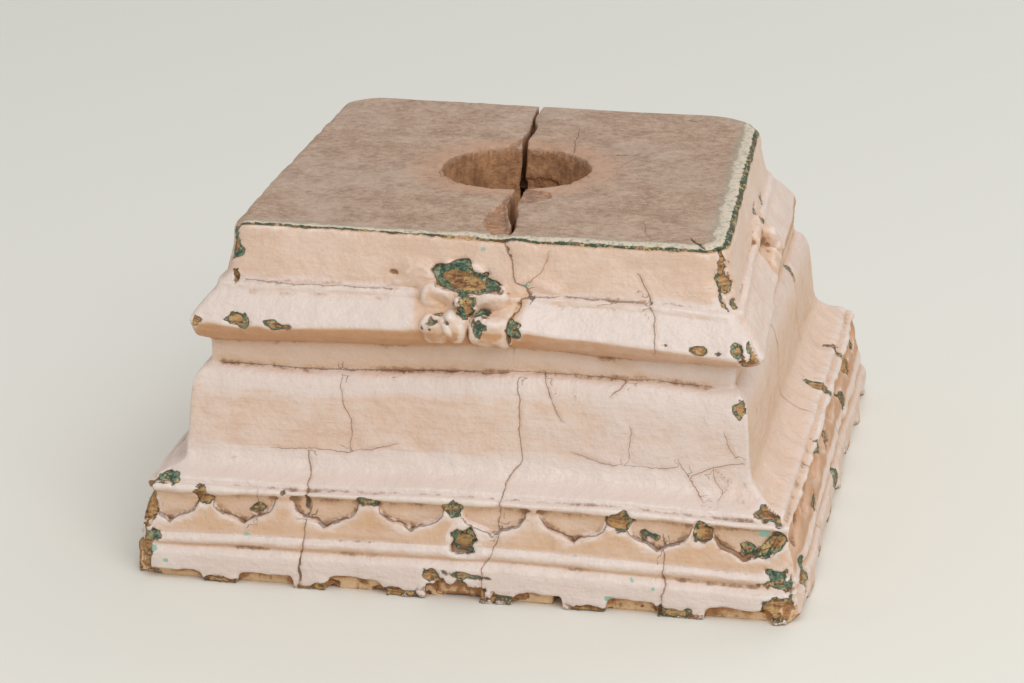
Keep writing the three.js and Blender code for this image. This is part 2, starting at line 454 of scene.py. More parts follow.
def without_bubbles(obj):
    """Deletes what isn't joined to the outer skin, such as a bubble that the cutting left inside."""
    only(obj)
    outermost = int(np.argmax(get_points(obj)[:, 0]))
    bpy.ops.object.mode_set(mode="EDIT")
    bpy.ops.mesh.select_mode(type="VERT")
    bpy.ops.mesh.select_all(action="DESELECT")
    bpy.ops.object.mode_set(mode="OBJECT")
    obj.data.vertices[outermost].select = True
    bpy.ops.object.mode_set(mode="EDIT")
    bpy.ops.mesh.select_linked()
    bpy.ops.mesh.select_all(action="INVERT")
    bpy.ops.mesh.delete(type="VERT")
    bpy.ops.object.mode_set(mode="OBJECT")


# The solid lumps of the flower on each side: (across, out, up), radii and lean in degrees.
FLOWER = [
    ((-15, 124.4, 118), (6.4, 5.4, 5.4), 6),
    ((-6.6, 124.8, 118.8), (5.2, 5.6, 6), -14),
    ((8.9, 124.6, 118), (9.4, 5.6, 6), -6),
    ((-2.3, 123, 129), (3.6, 4, 5), 14),
    ((-3, 116.8, 128.6), (20, 4.4, 8), 0),
    ((-6, 111.8, 139), (11, 3, 6), 0),
]
BLOCKY = 0.55
# How strongly the flower stands out on the front, right, back and left, and how far it can sink.
FLOWER_SCALE = (1.0, 0.55, 0.8, 0.8)
FLOWER_SINK = 6.0

# Ridges and furrows of the flower and the lumps about it: a path of (across, up), height and half width.
PETAL_STROKES = [
    ([(-26, 135.8), (-19, 134.6), (-12, 132), (-7, 129.6)], 1.1, 3.2),
    ([(-24, 133), (-20, 128.6), (-15.5, 126.4), (-9, 125.4)], 0.8, 2.2),
    ([(-18, 130.4), (-12, 127.6)], -1.2, 2.2),
    ([(3.5, 129.5), (7.2, 131.4), (12.5, 133.2), (20, 133.8)], 1.7, 3),
    ([(9, 127.4), (13.5, 128), (20, 130.4)], 0.8, 1.8),
    ([(22, 127.4), (17.8, 124.6), (12.5, 122.4), (6, 121.8)], 1.2, 2.4),
    ([(5.5, 126), (10.5, 125)], -1.3, 2.2),
    ([(-11, 122.5), (-6.6, 116)], 1.2, 1),
    ([(-0.9, 121.5), (-0.7, 111.5)], -2.2, 1.1),
    ([(-8.6, 124), (0.4, 123.4)], 0.8, 1.2),
    ([(-30, 139.4), (-25, 141.6), (-20.5, 140.2)], 2, 2.6),
    ([(-25.5, 137.8), (-15, 138)], 1, 1.3),
    ([(-37, 138.4), (-35.4, 138.2)], -1.3, 1.3),
    ([(-34.5, 134.4), (-29, 135.4)], 1.2, 1.8),
    ([(19, 138), (24.5, 139.6), (28, 137.4)], 1.2, 2.8),
    ([(31.5, 135.2), (37, 133.4)], 1.2, 2),
    ([(26, 128.4), (23.2, 124), (22, 117)], 1.3, 2.2),
    ([(20.6, 129), (17.6, 122), (17.2, 115)], -1.3, 1),
]
STROKE_SPREAD = 1.9
STROKE_CURVE = 1.4
PETAL_ZONE = {"across": 44.0, "low": 108.0, "high": 146.0, "out": 100.0}


def ball(centre, radii, lean):
    """A round lump, leaned in the plane of the side; in millimetres."""
    bpy.ops.object.select_all(action="DESELECT")
    bpy.ops.mesh.primitive_uv_sphere_add(segments=32, ring_count=24, radius=1.0)
    lump = bpy.context.object
    points = get_points(lump) * MM
    points = np.sign(points) * np.abs(points) ** BLOCKY
    points *= 1.0 + 0.16 * layered(points * 8.0 + np.array(centre), 6.0, SEED + 70, 2)[:, None]
    points = points * np.array(radii)
    c, s = math.cos(math.radians(lean)), math.sin(math.radians(lean))
    x, z = points[:, 0].copy(), points[:, 2].copy()
    points[:, 0] = c * x - s * z
    points[:, 2] = s * x + c * z
    set_points(lump, points + np.array(centre))
    return lump


def flower_lumps():
    """The petals and knob of the flower, on all four sides."""
    lumps = [ball((a, -out, up), radii, lean) for (a, out, up), radii, lean in FLOWER]
    first = joined(lumps)
    flowers = []
    for side in range(1, 4):
        only(first)
        bpy.ops.object.duplicate()
        copy = bpy.context.object
        points = get_points(copy)
        points[:, 1] += (1.0 - FLOWER_SCALE[side]) * FLOWER_SINK
        set_points(copy, turned(points, side))
        flowers.append(copy)
    set_points(first, before_droop(get_points(first)))
    return [first, *flowers]


def path_distance(spots, path):
    """How far each flat spot is from a path of straight stretches."""
    path = np.array(path, float)
    distance = np.full(len(spots), 1e3)
    for start, end in zip(path[:-1], path[1:]):
        way = end - start
        gap = spots - start
        along = np.clip(gap @ way / (way @ way), 0.0, 1.0)
        distance = np.minimum(distance, np.linalg.norm(gap - along[:, None] * way, axis=1))
    return distance


def petal_relief(points):
    """Points pushed straight out of each side by the flower's ridges and furrows."""
    out = points.copy()
    sides = side_of(points)
    for side in range(4):
        flat = turned(points, -side)
        near = (sides == side) & (np.abs(flat[:, 0]) < PETAL_ZONE["across"])
        near &= (flat[:, 2] > PETAL_ZONE["low"]) & (flat[:, 2] < PETAL_ZONE["high"])
        near &= -flat[:, 1] > PETAL_ZONE["out"]
        here = np.where(near)[0]
        spots = flat[here][:, [0, 2]]
        push = np.zeros(len(here))
        for path, height, half in PETAL_STROKES:
            share = np.maximum(0.0, 1.0 - path_distance(spots, path) / (STROKE_SPREAD * half))
            push += height * share**STROKE_CURVE
        moved = flat[here]
        moved[:, 1] -= push * FLOWER_SCALE[side]
        out[here] = turned(moved, side)
    return out


# Hand shaping of the carved block.


def corner_radius(points):
    """How round the upright corner nearest to each point is, in millimetres."""
    x, y, z = points.T
    top = np.where(x > 0, np.where(y < 0, 15.0, 26.0), np.where(y < 0, 9.0, 18.0))
    low = 6.5 - 1.5 * smooth(22.0, 26.0, z) - 2.4 * smooth(44.0, 50.0, z) + 1.2 * smooth(90.0, 98.0, z)
    start = np.where((x > 0) & (y > 0), 97.0, 120.0)
    return low + (top - low) * smooth(0.0, 1.0, (z - start) / (142.0 - start))


def rounded_corners(points):
    """Draws the square's corners round."""
    x, y = points[:, 0], points[:, 1]
    wide = np.abs(x) >= np.abs(y)
    major = np.where(wide, np.abs(x), np.abs(y))
    minor = np.where(wide, np.abs(y), np.abs(x))
    radius = corner_radius(points) * smooth(50.0, 92.0, major)
    middle = major - radius
    over = np.maximum(minor - middle, 0.0)
    length = np.maximum(np.hypot(radius, over), 1e-6)
    bent_major = np.where(over > 0, middle + radius * radius / length, major)
    bent_minor = np.where(over > 0, middle + over * radius / length, minor)
    out = points.copy()
    out[:, 0] = np.sign(x) * np.where(wide, bent_major, bent_minor)
    out[:, 1] = np.sign(y) * np.where(wide, bent_minor, bent_major)
    return out


SKEW = (-11.0, -5.0)
SKEW_START, SKEW_FULL = 97.0, 118.0
SKEW_SPAN = 214.0
SHAFT_SHIFT = -2.5


def skew_pull(points):
    """How strongly each point is pulled by the skew."""
    x, y, z = points.T
    return smooth(SKEW_START, SKEW_FULL, z) * (0.5 + x / SKEW_SPAN) * (0.5 + y / SKEW_SPAN)


def before_skew(points):
    """Where points must lie so that the skew brings them to the given places."""
    out = points.copy()
    for _ in range(4):
        pull = skew_pull(out)
        out[:, 0] = points[:, 0] - SKEW[0] * pull
        out[:, 1] = points[:, 1] - SKEW[1] * pull
    return out


def hand_set(points):
    """The upper block pulled off square, and the shaft set a little to the left."""
    out = points.copy()
    pull = skew_pull(points)
    out[:, 0] += SKEW[0] * pull
    out[:, 1] += SKEW[1] * pull
    z = points[:, 2]
    out[:, 0] += SHAFT_SHIFT * zone(z, 50.0, 58.0, 104.0, 112.0)
    return out


# How far the front's lines lie above or below level, at each nominal height: (across, rise).
FRONT_LINES = [
    (0.0, [(0.0, 0.0)]),
    (18.0, [
        (-132, -1.9), (-103, -1.2), (-75, -0.9), (-46, -0.4), (0, 0.6), (17, 1.4), (52, 0.4), (88, -0.6),
        (122, -1.9),
    ]),
    (31.0, [
        (-132, -4.0), (-100, -2.5), (-62, -1.5), (-23, 0.0), (13, 0.5), (50, 0.0), (86, -1.0), (124, -2.5),
    ]),
    (46.0, [(-132, -2.0), (-75, -1.2), (-20, 0.5), (62, 1.3), (122, -0.7)]),
    (95.0, [
        (-110, -1.4), (-75, -2.4), (-55, -1.4), (-30, 0.0), (0, 1.7), (22, 3.0), (58, 2.7), (77, 3.0),
        (105, 1.2),
    ]),
    (107.0, [
        (-110, -3.0), (-92, -2.2), (-75, -0.9), (-30, 0.4), (0, 2.7), (22, 2.7), (40, 1.7), (58, 0.0),
        (113, -0.5),
    ]),
    (116.0, [
        (-110, -1.0), (-75, -0.5), (-30, 1.5), (22, 4.0), (40, 1.5), (58, 1.0), (77, -0.5), (95, -2.0),
        (113, -3.5),
    ]),
    (131.0, [(-105, 0.0), (0, 0.4), (50, 0.5), (80, 0.0), (105, -2.0)]),
    (156.0, [(0.0, 0.0)]),
]


def droop(points):
    """How far each point is raised or lowered, so that the front's lines bow and the others waver."""
    x, y, z = points.T
    levels = [up for up, _ in FRONT_LINES]
    rises = [np.interp(x, *zip(*line)) for _, line in FRONT_LINES]
    rise = np.zeros(len(points))
    for i in range(len(levels) - 1):
        here = (z >= levels[i]) & (z <= levels[i + 1])
        share = ((z - levels[i]) / (levels[i + 1] - levels[i]))[here]
        rise[here] = rises[i][here] * (1.0 - share) + rises[i + 1][here] * share
    outward = np.maximum(np.abs(x), np.abs(y))
    front = smooth(0.35, 0.95, -y / np.maximum(outward, 1.0)) * smooth(70.0, 100.0, -y)
    waver = 1.6 * noise(points, (80.0, 80.0, 70.0), SEED + 60) * zone(z, 0.0, 18.0, 134.0, 150.0)
    skin = smooth(70.0, 100.0, outward)
    return rise * front + waver * skin * (1.0 - front)


def before_droop(points):
    """Where points must lie so that the droop brings them to the given places."""
    out = points.copy()
    for _ in range(5):
        out[:, 2] = points[:, 2] - droop(out)
    return out


# Broken corners as (direction x, y, z), how far out the break is, and its roughness.
BREAKS = [
    ((-0.68, -0.70, 0.10), 206, 1.6),
    ((-0.60, -0.74, -0.30), 199, 1.6),
    ((0.66, -0.70, -0.28), 196, 2),
    ((0.70, -0.70, 0.12), 207, 1.5),
    ((0.74, 0.60, 0.30), 214, 1.5),
    ((-0.70, 0.70, 0.12), 208, 1.5),
]


def broken_corners(points):
    """Flattens each broken corner to a rough plane."""
    out = points.copy()
    for i, (way, far, rough) in enumerate(BREAKS):
        way = np.array(way) / np.linalg.norm(way)
        near = out @ way > far - 6.0
        if not near.any():
            continue
        spots = out[near]
        limit = far + rough * layered(spots, 9.0, SEED + 31 * i, 3)
        over = np.maximum(spots @ way - limit, 0.0)
        out[near] = spots - way * (over * 0.92)[:, None]
    return out


# Paint losses on each side: across, up, half width, half height, turn in degrees, depth, and how much
# of the loss is down to the wood, from 0 to 1.
CHIPS = {
    0: [
        (-118, 39, 3.8, 3.6, 0, 1, 0.6), (-93, 34.5, 4.2, 1.8, 25, 0.6, 0.1),
        (-81, 42.6, 2, 1.4, 20, 0.5, 0), (-42, 41, 4, 1.9, -8, 0.6, 0.1),
        (-3.5, 41.5, 4.6, 3, 22, 0.8, 0.2), (70, 40.5, 5.8, 4.4, -5, 1.2, 0.65),
        (85, 34.5, 5, 2.4, -14, 0.7, 0.1), (105.5, 38, 6, 5.6, -35, 1.2, 0.7),
        (136, 47, 7.5, 3, -5, 0.9, 0.5), (135, 34, 9, 3.2, 32, 1, 0.45),
        (126, 31.5, 4.5, 3.2, 20, 0.8, 0.3), (140, 20, 8, 4.2, -10, 1.2, 0.3),
        (140, 8, 9, 5.5, 20, 1.4, 0.7), (-103, 116, 6.5, 3.6, 0, 0.8, 0.5),
        (-86.5, 115, 6, 1.8, -5, 0.6, 0.3), (-124, 115, 4, 2.6, 0, 0.8, 0.7),
        (86, 116.5, 3, 1.6, 0, 0.5, 0.2), (102, 115.2, 5.5, 1.5, -3, 0.6, 0.3),
        (117, 116, 2.2, 2.6, 0, 0.6, 0.3), (126, 115, 6, 8, 0, 1, 0.9),
        (-2.2, 129.4, 3.8, 5.2, 20, 1, 0.45), (-14.6, 121.8, 5.2, 2.3, 10, 0.7, 0.3),
        (5.8, 121.4, 3.9, 4.4, 0, 0.7, 0.2), (20.4, 119, 2.6, 3.6, 25, 0.8, 0.3),
        (118.5, 89.5, 2.6, 4.6, 0, 0.6, 0.2), (-0.5, 3.8, 17, 5, -4, 1.4, 0.85),
        (-13.5, 11, 3.4, 3.6, 0, 0.8, 0.5), (4, 12.5, 9, 1.6, -4, 0.7, 0.1), (22, 3, 6, 2.4, 0, 0.6, 0.2),
        (94, 2.6, 9, 2.2, 0, 0.8, 0.4), (-62, 2, 7, 2.2, 0, 0.8, 0.8), (-30, 1.5, 10, 2.4, 0, 0.8, 0.7),
        (-110, 1.6, 8, 1.8, 0, 0.8, 0.8), (56, 1.6, 8, 2, 0, 0.8, 0.8), (-145, 7, 6, 10, 0, 1, 0.95),
        (-146, 34, 7.5, 10, 0, 1.4, 0.95), (-138, 46, 7, 4, -10, 0.9, 0.3),
        (-143, 20, 7, 3.4, -8, 0.8, 0.3), (-107, 133, 1.6, 2.6, 0, 1.4, 0.8),
        (109, 144, 4.4, 10.5, 0, 0.9, 0.8), (-109, 146, 4, 9, 0, 0.8, 0.3),
    ],
    1: [
        (39.6, 133.5, 6, 3, 0, 0.8, 0.3), (7, 137, 8, 5, 0, 1, 0.4), (0.7, 110, 7, 3, 0, 0.8, 0.4),
        (80, 45, 5, 3, 0, 0.8, 0.6), (20.5, 48, 6, 3, 0, 0.8, 0.5), (95.6, 31, 6, 4, 0, 0.9, 0.6),
        (59.3, 28, 5, 4, 0, 0.9, 0.5), (-74, 27, 5, 4, 0, 0.9, 0.4), (-7.6, 12, 5, 6, 0, 0.9, 0.4),
        (126, 33, 6, 5, 0, 0.9, 0.6), (-8.6, 33, 5, 4, 0, 0.9, 0.5), (-126, 15, 8, 9, 0, 1.2, 0.6),
        (60, 90, 3, 5, 0, 0.6, 0.4), (-40, 41, 5, 3, 0, 0.8, 0.3), (-108, 143, 4.6, 11, 0, 0.9, 0.8),
    ],
    2: [
        (-90, 40, 5, 4, 0, 0.9, 0.5), (20, 41, 6, 3, 0, 0.9, 0.4), (75, 116, 8, 3, 0, 0.8, 0.4),
        (-3, 136, 12, 5, 0, 1.2, 0.6), (110, 30, 7, 5, 0, 1, 0.6), (-30, 6, 10, 5, 0, 1.2, 0.8),
    ],
    3: [
        (100, 38, 6, 4, 0, 0.9, 0.6), (-60, 40, 5, 3, 0, 0.9, 0.4), (30, 117, 7, 3, 0, 0.8, 0.4),
        (-5, 134, 10, 5, 0, 1.2, 0.5), (-110, 20, 7, 6, 0, 1, 0.6), (60, 5, 9, 4, 0, 1.2, 0.8),
        (109, 146, 4, 9, 0, 0.8, 0.3), (145, 38, 7, 11, 0, 1, 0.95), (144, 8, 6, 9, 0, 1, 0.95),
    ],
}


# Larger losses: side, middle, outline about it, outline of the bare wood about it, and depth.
LOSSES = [
    (
        0,
        (-2.7, 138.8),
        [
            (-17, 2), (-14.5, 4), (-9, 5.2), (-4.5, 6.8), (0, 7.4), (1.5, 4.6), (2.5, 2), (6, 1.2),
            (8.5, 2.6), (9.5, 0.6), (8, -0.4), (12.5, -1.6), (17.5, -4.2), (16, -5.2), (9, -4.8),
            (4.5, -6), (-1.5, -6.4), (-7, -5), (-11.5, -4), (-14, -3.2), (-15, -0.8),
        ],
        [
            (-11, 0.4), (-6, 2.2), (-2, 2), (1, -0.4), (5, -2), (9, -3.6), (4, -4), (-2, -4.4),
            (-7, -3), (-11, -1.6),
        ],
        1.6,
    ),
    (
        0,
        (0.6, 27.6),
        [
            (-6, 3), (-3, 5), (0, 4.4), (3.5, 6.4), (5, 3), (6.5, 0), (4.5, -2), (6, -4.6), (2, -6),
            (-3, -5.8), (-6, -4), (-5, -1),
        ],
        [(-3, 0), (0, 1.4), (3, 0.4), (3, -3), (2, -4.4), (-1, -4.6), (-3, -3)],
        4.4,
    ),
]


def inside_outline(spots, outline):
    """How far inside a closed outline each spot is; negative outside."""
    distance = np.full(len(spots), 1e3)
    inside = np.zeros(len(spots), bool)
    ends = np.array(outline, float)
    for start, end in zip(ends, np.roll(ends, -1, axis=0)):
        way = end - start
        gap = spots - start
        along = np.clip(gap @ way / (way @ way), 0.0, 1.0)
        distance = np.minimum(distance, np.linalg.norm(gap - along[:, None] * way, axis=1))
        spans = (start[1] > spots[:, 1]) != (end[1] > spots[:, 1])
        rise = np.where(abs(way[1]) > 1e-9, way[1], 1e-9)
        inside ^= spans & (spots[:, 0] < way[0] * gap[:, 1] / rise + start[0])
    return np.where(inside, distance, -distance)


def chip_fields(points):
    """For each point, how far inside a paint loss it is, how far inside bare wood, and its depth."""
    wear = np.full(len(points), -40.0)
    bare = np.full(len(points), -40.0)
    depth = np.zeros(len(points))
    sides = side_of(points)
    ragged = layered(points, 4.2, SEED + 5, 3)
    inner = layered(points, 6.5, SEED + 9, 3)
    for side, chips in CHIPS.items():
        here = np.where(sides == side)[0]
        flat = turned(points[here], -side)
        for across, up, wide, tall, turn, deep, wood in chips:
            da, du = flat[:, 0] - across, flat[:, 2] - up
            c, s = math.cos(math.radians(turn)), math.sin(math.radians(turn))
            a, u = (c * da + s * du) / wide, (-s * da + c * du) / tall
            size = min(wide, tall)
            room = (1.0 - np.hypot(a, u)) * size + ragged[here] * min(0.6 * size, 2.2)
            floor = room - size * (1.05 - wood) + inner[here] * 0.3 * size
            depth[here] = np.where(room > wear[here], deep, depth[here])
            wear[here] = np.maximum(wear[here], room)
            bare[here] = np.maximum(bare[here], floor)
    for side, middle, outline, wood_outline, deep in LOSSES:
        here = np.where(sides == side)[0]
        flat = turned(points[here], -side)
        spots = flat[:, [0, 2]] - np.array(middle)
        room = inside_outline(spots, outline) + ragged[here] * 0.4
        floor = inside_outline(spots, wood_outline) + inner[here] * 0.7
        depth[here] = np.where(room > wear[here], deep, depth[here])
        wear[here] = np.maximum(wear[here], room)
        bare[here] = np.maximum(bare[here], floor)
    return wear, bare, depth


# The top and the inside of the mortise and split, numbered after the four sides.
ON_TOP = 4
IN_HOLE = 5

# Cracks as points of (across, up) with a half width at their widest, in millimetres. They are on the
# front, right, back and left, 0 to 3, and on the top, where up is towards the back.
CRACKS = {
    0: [
        (
            [
                (13, 154), (16, 146), (18, 137), (22, 136), (26, 131.5), (21.5, 131), (21.5, 127),
                (17.5, 123), (17, 115), (18.5, 107),
            ],
            0.3,
        ),
        ([(25.4, 131.6), (27.2, 131.2)], 1.0),
        ([(17.6, 119), (17.2, 113)], 0.8),
        ([(14.4, 152), (16, 147)], 0.6),
        ([(22, 136), (30, 143), (33, 150)], 0.1),
        ([(72.5, 142), (77, 134), (78, 131), (80, 124), (81.5, 113)], 0.2),
        ([(78, 131.6), (78.4, 128.6)], 0.6),
        (
            [(-73, 57), (-72.5, 51), (-70, 43), (-69, 37), (-71, 30), (-72, 20), (-72.5, 8), (-73.6, 0)],
            0.26,
        ),
        ([(-70.2, 42), (-71, 36)], 1.0),
        ([(-72.2, 14), (-72.8, 4)], 0.8),
        (
            [
                (21, 96), (22, 82), (22.3, 69), (23, 60), (18, 52), (17, 46), (16, 40), (16.5, 30),
                (13.5, 24), (10, 18), (10, 4), (9, 0),
            ],
            0.2,
        ),
        ([(18.4, 53), (17, 46)], 0.34),
        ([(88, 34), (90, 27), (88.5, 20), (90, 15), (88.5, 6)], 0.26),
        ([(88.6, 8), (88.2, 1)], 0.8),
        ([(-59, 95), (-58.4, 82), (-53, 73), (-55.3, 58)], 0.14),
        ([(-88, 57), (-72, 58), (-56, 57.5), (-44, 60), (-34, 63)], 0.09),
        ([(32, 97), (35, 88), (40, 79)], 0.18),
        ([(68.5, 96), (62.4, 91)], 0.14),
        ([(71, 77), (70, 63)], 0.1),
        ([(47, 64), (58, 61), (69, 60), (82, 60), (93, 61)], 0.09),
        ([(93, 63), (98, 55), (104, 49.5)], 0.14),
        ([(120, 64.5), (108, 62), (98, 57.5)], 0.1),
        ([(113, 77), (117, 66)], 0.1),
        ([(-93, 42), (-93, 28)], 0.08),
        ([(76, 131), (68, 131.4), (58, 130.6)], 0.1),
        ([(108, 58), (112, 52), (110, 49)], 0.1),
    ],
    1: [
        ([(-20, 95), (-16, 80), (-22, 64), (-18, 50)], 0.3),
        ([(60, 94), (55, 76), (61, 58)], 0.2),
        ([(30, 30), (28, 12), (30, 0)], 0.35),
        ([(-70, 44), (-72, 20), (-69, 0)], 0.35),
    ],
    2: [
        ([(13, 155), (11, 140), (15, 128), (13, 107)], 1.6),
        ([(10, 95), (14, 75), (9, 60), (12, 40), (10, 0)], 0.5),
        ([(-70, 60), (-68, 40), (-72, 0)], 0.35),
    ],
    ON_TOP: [
        ([(18, 27), (16, 45), (14.6, 68)], 0.22),
        ([(39, 26), (50, 28.5)], 0.3),
        ([(74, -57), (84, -54), (95, -53)], 0.12),
        ([(69, -75), (71, -88), (75, -101)], 0.12),
        ([(93, -98), (97, -106), (101, -108)], 0.7),
        ([(60, 40), (48, 20), (44, 6)], 0.16),
        ([(-60, -30), (-40, -26), (-34, -27)], 0.16),
        ([(60, 96), (66, 92), (72, 95)], 0.3),
    ],
    3: [
        ([(40, 95), (44, 75), (38, 56)], 0.25),
        ([(-50, 44), (-47, 20), (-50, 0)], 0.4),
        ([(90, 140), (86, 125), (89, 107)], 0.25),
    ],
}


# Straight dark lines along creases on the front, dirt and painted shade: start, end, height before the lines
# bow, and half width.
SEAMS = [
    (-114, 20, 94.6, 0.16), (20, 104, 94.6, 0.07), (-104, -34, 131.4, 0.08), (28, 78, 131.4, 0.1),
]
SEAM_POINTS = 12
LEAF_SEAM_HALF = 0.26


def seams():
    """Lines on the front where a crease is drawn dark, dirt and painted shade: round the leaves, at the neck
    and under the block.
    """
    lines = []
    for start, end, up, width in SEAMS:
        across = np.linspace(start, end, SEAM_POINTS)
        lines.append((np.stack([across, np.full(SEAM_POINTS, up)], axis=1), width))
    lines += [(np.array(leaf_hollow_outline(*hollow)[2:-2]), LEAF_SEAM_HALF) for hollow in LEAF_HOLLOWS_FRONT]
    for line, _ in lines:
        line[:, 1] += droop(np.column_stack([line[:, 0], np.full(len(line), -FOOT_HALF), line[:, 1]]))
    return lines


def crack_fields(points):
    """Signed distance to the nearest crack, the plain distance, and the crack's half width there."""
    signed = np.full(len(points), 60.0)
    plain_distance = np.full(len(points), 60.0)
    widths = np.zeros(len(points))
    inside = top_room(points) > 2.0
    sides = np.where(inside & (points[:, 2] > HOLE_FLOOR_Z), IN_HOLE, side_of(points))
    sides = np.where(inside & (points[:, 2] > TOP_Z - 2.0), ON_TOP, sides)
    sway = layered(points, 7.0, SEED + 41, 3) * 0.9
    for side, cracks in {**CRACKS, 0: CRACKS[0] + seams()}.items():
        here = np.where(sides == side)[0]
        flat = turned(points[here], -side)
        up = flat[:, 1] if side == ON_TOP else flat[:, 2]
        spot = np.stack([flat[:, 0] + sway[here], up], axis=1)
        for path, width in cracks:
            path = np.array(path, float)
            length = np.linalg.norm(np.diff(path, axis=0), axis=1)
            marks = np.concatenate([[0.0], np.cumsum(length)])
            for i, (start, end) in enumerate(zip(path[:-1], path[1:])):
                way = (end - start) / length[i]
                gap = spot - start
                along = np.clip(gap @ way, 0.0, length[i])
                distance = np.linalg.norm(gap - along[:, None] * way, axis=1)
                share = (marks[i] + along) / marks[-1]
                half = width * (0.5 + 0.5 * np.minimum(1.0, 6.0 * (1.0 - share)))
                sign = np.where(way[0] * gap[:, 1] - way[1] * gap[:, 0] >= 0, 1.0, -1.0)
                nearer = distance < plain_distance[here]
                chosen = here[nearer]
                plain_distance[chosen] = distance[nearer]
                signed[chosen] = (sign * distance)[nearer]
                widths[chosen] = half[nearer]
    return signed, plain_distance, widths


# Lower than this no point inside the top's outline belongs to the mortise or the split.
HOLE_FLOOR_Z = 60.0

# Half the width of the top before it is pulled off square.
TOP_HALF = 110.8

# Chunks broken out of the top beside the split, as outlines in plan with a depth.
TOP_BREAKS = [
    ([(2, -44), (8, -60), (9.5, -84), (13.5, -104), (6, -107), (-1, -92), (-2.5, -76), (1, -62)], 2.6),
    ([(7, -36), (20, -40), (22, -48), (14, -58), (8, -60)], 1.6),
    ([(-9, 30), (-16, 26), (-12, 42), (-9, 52)], 1.2),
]


def top_room(points):
    """How far inside the edge of the top each point lies in plan, in millimetres."""
    flat = before_skew(np.column_stack([points[:, :2], np.full(len(points), TOP_Z)]))
    radius = corner_radius(flat)
    over = np.abs(flat[:, :2]) - (TOP_HALF - radius)[:, None]
    outside = np.linalg.norm(np.maximum(over, 0.0), axis=1)
    return radius - outside - np.minimum(over.max(axis=1), 0.0)


def averaged_offset(points, edges, rounds):
    """How far each point lies from the average of the points around it."""
    around = np.stack([averaged(points[:, i], edges, rounds) for i in range(3)], axis=1)
    return around - points


def eased(points, edges):
    """The upright corners filled out with paint, and the worn foot of the right side softened."""
    x, y, z = points.T
    outer = smooth(90.0, 100.0, np.maximum(np.abs(x), np.abs(y)))
    corner = np.exp(-(((np.abs(x) - np.abs(y)) / 2.2) ** 2)) * outer * (1.0 - smooth(148.0, 153.0, z))
    out = points + corner[:, None] * averaged_offset(points, edges, 6)
    push = (0.3 + 0.6 * (1.0 - smooth(100.0, 120.0, z))) * corner
    out[:, 0] += np.sign(x) * push * 0.7
    out[:, 1] += np.sign(y) * push * 0.7
    soft = 0.75 * (side_of(points) == 1) * zone(z, 12.0, 18.0, 40.0, 48.0)
    return out + soft[:, None] * averaged_offset(out, edges, 12)


def hand_wobble(points):
    """How far hand carving and thick paint stand out, heaviest at the foot of the right side."""
    z = points[:, 2]
    out = 0.55 * noise(points, 60.0, SEED) + 0.42 * noise(points, 24.0, SEED + 1)
    out += 0.32 * noise(points, 10.0, SEED + 2) + 0.13 * noise(points, 4.5, SEED + 15)
    out += 0.10 * noise(points, (26.0, 26.0, 2.4), SEED + 3)
    heavy = (side_of(points) == 1) * (1.0 - smooth(44.0, 58.0, z))
    out += heavy * (1.0 * noise(points, 13.0, SEED + 16) + 0.5 * noise(points, 6.0, SEED + 17))
    out += 0.5 * smooth(138.0, 150.0, z) * noise(points, (9.0, 9.0, 5.0), SEED + 18)
    return out


def edge_wear(points, normals, edges):
    """How much is rubbed off the edges, here and there."""
    bulge = -(averaged_offset(points, edges, 6) * normals).sum(axis=1)
    rubbed = smooth(0.06, 0.4, bulge) * smooth(-0.1, 0.7, layered(points, 8.0, SEED + 4, 3))
    return np.minimum(1.6 * bulge, 1.3) * rubbed


def loss_depth(points):
    """How deep each point lies in a paint loss, with rough wood where it is bare."""
    wear, bare, depth = chip_fields(points)
    rough = layered(points, (2.4, 2.4, 7.0), SEED + 6, 2)
    return smooth(-0.3, 0.7, wear) * depth + smooth(-0.3, 0.9, bare) * 0.35 * (1.0 + rough)


def crack_depth(points):
    """How deep each point lies in a crack."""
    _, far, widths = crack_fields(points)
    return np.minimum(widths, 0.6) * np.exp(-((far / 0.8) ** 2))


def mortise_gap(points):
    """How far outside the mortise each point lies in plan."""
    return np.hypot(points[:, 0] - MORTISE["x"], points[:, 1] - MORTISE["y"]) - MORTISE["radius"]


def top_relief(points, room):
    """Saw marks on the top, the chunks broken out of it, and its wear at the edge and round the mortise."""
    out = noise(points, (40.0, 2.6, 60.0), SEED + 7) * 0.10
    out += noise(points, (18.0, 5.0, 60.0), SEED + 8) * 0.12
    out += 0.30 * noise(points, 38.0, SEED + 10)
    ragged = layered(points, 4.0, SEED + 12, 3)
    fibres = layered(points, (9.0, 2.2, 9.0), SEED + 13, 2)
    for outline, deep in TOP_BREAKS:
        chunk = smooth(-0.5, 1.2, inside_outline(points[:, :2], outline) + ragged * 1.2)
        out -= chunk * deep * (0.8 + 0.4 * fibres)
    out -= 1.6 * (1.0 - smooth(0.5, 4.0, room)) * smooth(-0.1, 0.7, layered(points, 6.0, SEED + 14, 3))
    lip = np.exp(-((mortise_gap(points) / 2.4) ** 2))
    out -= 2.0 * lip * smooth(0.0, 0.7, layered(points, 7.0, SEED + 19, 3))
    return out


